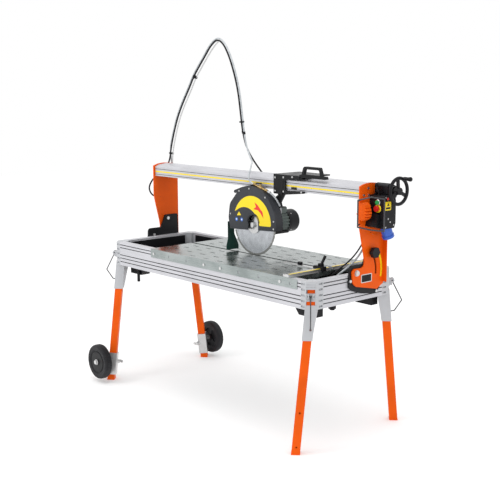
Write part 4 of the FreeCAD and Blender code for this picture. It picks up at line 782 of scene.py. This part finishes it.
def control_details():
    """The control box's plain label, screws, lamp, seam and the rings round its buttons."""
    label = [(94, 1206), (134, 1206), (138, 1210), (138, 1246), (134, 1250), (94, 1250)]
    face_x("box_label", label, BOX_SIDE, 0.4, "yellow_plate", "bridge")
    field = [(98, 1212), (133, 1212), (133, 1222), (98, 1222)]
    face_x("box_label_field", field, BOX_SIDE + 0.4, 0.1, "black_print", "bridge")
    sign = [(106, 1228), (126, 1228), (116, 1245)]
    face_x("box_label_sign", sign, BOX_SIDE + 0.4, 0.1, "black_print", "bridge")
    places = [at(BOX_SIDE, y, z) for y, z in ((98, 1120), (160, 1128), (99, 1272), (162, 1270),
                                              (117, 1162), (133, 1145))]
    screws("box_screws", places, Vector((1, 0, 0)), mm(4.2), mm(2.2), "plated_steel", "bridge")
    lamp = [(0, 7), (2, 7), (3, 5.5), (5, 4.5), (6.5, 2.5)]
    lathes("box_lamp", [((BOX_SIDE, 112, 1264), (1, 0, 0), lamp)], "red_print", "bridge")
    collar = [(0, 15.5), (3, 15.5), (4.5, 13.5), (4.5, 11.6)]
    lathes("start_collar", [((945, BOX_FRONT, 1245), (0, -1, 0), collar)], "plated_steel", "bridge")
    ring = [(0, 21), (1.5, 21), (2.2, 20), (2.2, 11.8)]
    lathes("stop_ring", [((945, BOX_FRONT, 1213), (0, -1, 0), ring)], "yellow_plate", "bridge")
    seam = [((BOX_SIDE - 3.4, BOX_SIDE - 2.2), (BOX_FRONT - 0.25, BOX_FRONT + 0.2), (1114, 1277))]
    block("box_seam", seam, "black_print", "bridge")


beam_details()
column_details()
control_details()


# ---------------------------------------------------------------- carriage and head details

GUARD_FACE = -32.0
PRINT = 0.3


def guard_print(name, outline, finish, lift=0.0, thick=PRINT):
    """A thin print or raised bead on the guard's front face, from (x, z) corners."""
    def build(made):
        points = [at(x, GUARD_FACE - thick - lift, z) for x, z in outline]
        add_prism(made, points, Vector((0, mm(thick - 0.05), 0)))
    return piece(name, build, finish, "head")


def guard_details():
    """The guard's yellow crescent, arrow, small signs, beads and screws."""
    outer = arc((121, 1060), 158, 158, 3, 40)
    foot = [(278, 1063), (270, 1058), (190, 1055)]
    inner = arc((63, 1027), 123, 14, 122, 28)
    guard_print("guard_crescent", outer + foot + inner, "yellow_plate")
    arrow = [(143, 1185), (172, 1169), (193, 1148), (210, 1136), (218, 1100), (193, 1126),
             (172, 1141), (133, 1145), (155, 1159)]
    guard_print("guard_arrow", arrow, "red_print", 0.25)
    sign = [(9, 1120), (-8, 1096), (28, 1100)]
    guard_print("guard_sign", sign, "yellow_plate")
    for number, (x, z) in enumerate(((-12, 1074), (33, 1076))):
        guard_print(f"guard_disc_{number}", arc((x, z), 11, 0, 345, 23), "blue_print")
        guard_print(f"guard_dot_{number}", arc((x, z), 5, 0, 345, 15), "white_print", 0.2)
    arch = arc((130, 1067), 55, 178, 2, 30) + arc((130, 1067), 49, 2, 178, 30)
    guard_print("guard_arch", arch, "guard_grey", 0.0, 1.6)
    left = [(-66, 1016), (86, 1024), (86, 1031), (-66, 1023)]
    right = [(174, 1029), (308, 1036), (308, 1043), (174, 1036)]
    guard_print("guard_bead_left", left, "guard_grey", 0.0, 1.4)
    guard_print("guard_bead_right", right, "guard_grey", 0.0, 1.4)
    places = [at(x, GUARD_FACE, z) for x, z in ((98, 1257), (300, 1090), (-66, 1100), (12, 1238),
                                                (232, 1218), (300, 1048))]
    screws("guard_screws", places, Vector((0, -1, 0)), mm(5), mm(2.6), "plated_steel", "head")
    rim = arc((130, 1067), 44.5, 180, 0, 30) + arc((130, 1067), 42.2, 0, 180, 30)
    guard_print("keyhole_rim", rim, "black_print", 0.0, 0.8)


def motor_details():
    """The terminal box's lid, the fan cover's screws and the band round its edge."""
    lid = [(76, 152), (140, 152), (140, 218), (76, 218)]

    def build(made):
        add_prism(made, [at(x, y, 1135.05) for x, y in lid], Vector((0, 0, mm(4))))
    piece("terminal_lid", build, "black_plastic", "head", bevel=0.0015)
    places = [at(x, y, 1139) for x in (81, 135) for y in (157, 213) if (x, y) != (81, 213)]
    screws("terminal_screws", places, Vector((0, 0, 1)), mm(3), mm(2), "plated_steel", "head")
    cover = [at(SPINDLE_X + 66.2 * math.cos(math.radians(a)), 240, SPINDLE_Z
                + 66.2 * math.sin(math.radians(a))) for a in (45, 135, 225, 315)]
    for number, place in enumerate(cover):
        aim = (place - at(SPINDLE_X, 240, SPINDLE_Z)).normalized()
        screws(f"cover_screw_{number}", [place - aim * mm(1)], aim, mm(4), mm(2.5), "plated_steel", "head")
    band = [(0, 64.4), (0, 66.4), (9, 66.4), (9, 64.4)]
    lathes("motor_band", [((SPINDLE_X, 217, SPINDLE_Z), (0, 1, 0), band)], "black_paint", "head", sides=64)


TAP_AIM = (1, 0, -0.28)


def water_details():
    """Nuts on the tap and the clips that hold the hoses."""
    hexagon = [(0, 6), (0, 10.5), (12, 10.5), (14, 9), (14, 6)]
    lathes("tap_nuts", [((112, -8, 1281.9), TAP_AIM, hexagon), ((206, -8, 1255.6), TAP_AIM, hexagon)],
           "brass", "head", sides=6)
    lathes("hose_clips", [((240, -8, 1246), (0.96, 0, -0.27), [(0, 5), (0, 7.5), (8, 7.5), (8, 5)]),
                          ((288, 31, 1072), (0, 0, 1), [(0, 5), (0, 8), (9, 8), (9, 5)])],
           "plated_steel", "head")
    clip = [(0, 5.2), (0, 8.5), (7, 8.5), (7, 5.2)]
    lathes("hose_saddle", [((290, 26, 1170), (0.2, 0.3, -0.9), clip)], "black_plastic", "head")


def carriage_details():
    """The carriage's screws, its cover plate and the ribs on the grip."""
    face = 14.0
    places = [at(x, face, z) for x, z in ((264, 1256), (330, 1256), (264, 1330), (330, 1334),
                                          (400, 1340), (470, 1262))]
    screws("carriage_screws", places, Vector((0, -1, 0)), mm(5.5), mm(3.5), "plated_steel", "carriage")
    tops = [at(x, y, 1349) for x in (268, 420) for y in (60, 190)]
    screws("carriage_top_screws", tops, Vector((0, 0, 1)), mm(5.5), mm(3), "plated_steel", "carriage")
    cover = [(258, 1268), (326, 1270), (328, 1318), (258, 1322)]

    def build(made):
        add_prism(made, [at(x, face - 2, z) for x, z in cover], Vector((0, mm(1.95), 0)))
    piece("carriage_cover", build, "black_plastic", "carriage", bevel=0.001)
    tread = [((x, x + 4), (20.5, 39.5), (1401.9, 1402.0)) for x in range(496, 586, 8)]
    block("bail_ribs", tread, "black_plastic", "carriage")


FLAP_X, FLAP_TOP, FLAP_FOOT = -93.0, 1051.5, 884.0
FLAP_ROWS, FLAP_COLUMNS = 26, 14
FLAP_HALF_THICK = 1.6


def flap_line(share):
    """One level of the flap as (y, z, wave), from its top at 0 to its foot at 1."""
    z = FLAP_TOP + (FLAP_FOOT - FLAP_TOP) * share
    spread = max(0.0, share - 0.45) / 0.55
    left = -30.0 - 11.5 * min(1.0, max(0.0, share - 0.62) / 0.22)
    right = 18.0 + 2.0 * share + 31.5 * min(1.0, spread * 1.35)
    line = []
    for k in range(FLAP_COLUMNS + 1):
        part = k / FLAP_COLUMNS
        wave = 1.1 * math.sin(part * 9.0 + 1.0) * share
        line.append((left + (right - left) * part, z, wave))
    return line


def build_flap(made):
    """Two wavy faces a rubber sheet's thickness apart, joined round their edge."""
    grid = [flap_line(i / FLAP_ROWS) for i in range(FLAP_ROWS + 1)]
    sheets = []
    for side in (-1, 1):
        x = FLAP_X + side * FLAP_HALF_THICK
        sheets.append([[made.verts.new(at(x + wave, y, z)) for y, z, wave in line] for line in grid])
    front, rear = sheets
    for i in range(FLAP_ROWS):
        for k in range(FLAP_COLUMNS):
            for sheet in sheets:
                made.faces.new([sheet[i][k], sheet[i][k + 1], sheet[i + 1][k + 1], sheet[i + 1][k]])
    for i in range(FLAP_ROWS):
        for k in (0, FLAP_COLUMNS):
            made.faces.new([front[i][k], front[i + 1][k], rear[i + 1][k], rear[i][k]])
    for k in range(FLAP_COLUMNS):
        for i in (0, FLAP_ROWS):
            made.faces.new([front[i][k], front[i][k + 1], rear[i][k + 1], rear[i][k]])


def flap():
    """The rubber flap: a sheet with a slow wave that widens towards its foot."""
    obj = smooth(piece("flap_sheet", build_flap, "flap_rubber", "head"))
    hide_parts("splash_flap")
    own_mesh(obj)


guard_details()
motor_details()
water_details()
carriage_details()
flap()


# ---------------------------------------------------------------- wheels

def hub_details():
    """A raised ring round each hub and a cap on its axle."""
    for body, sign, face in (("wheel_fl", -1, 483.0), ("wheel_rl", 1, 466.0)):
        start = (-LEG_X, sign * (face - 6.1), AXLE_Z)
        ring = [(0, 62), (0, 66), (2.4, 65), (3.6, 63), (3.6, 62)]
        lathes(f"{body}_ring", [(start, (0, sign, 0), ring)], "black_paint", body, sides=48)
        cap = [(0, 17), (3, 17), (4.5, 15), (4.5, 13.6)]
        lathes(f"{body}_cap", [((-LEG_X, sign * (face - 0.2), AXLE_Z), (0, sign, 0), cap)],
               "plated_steel", body)


hub_details()
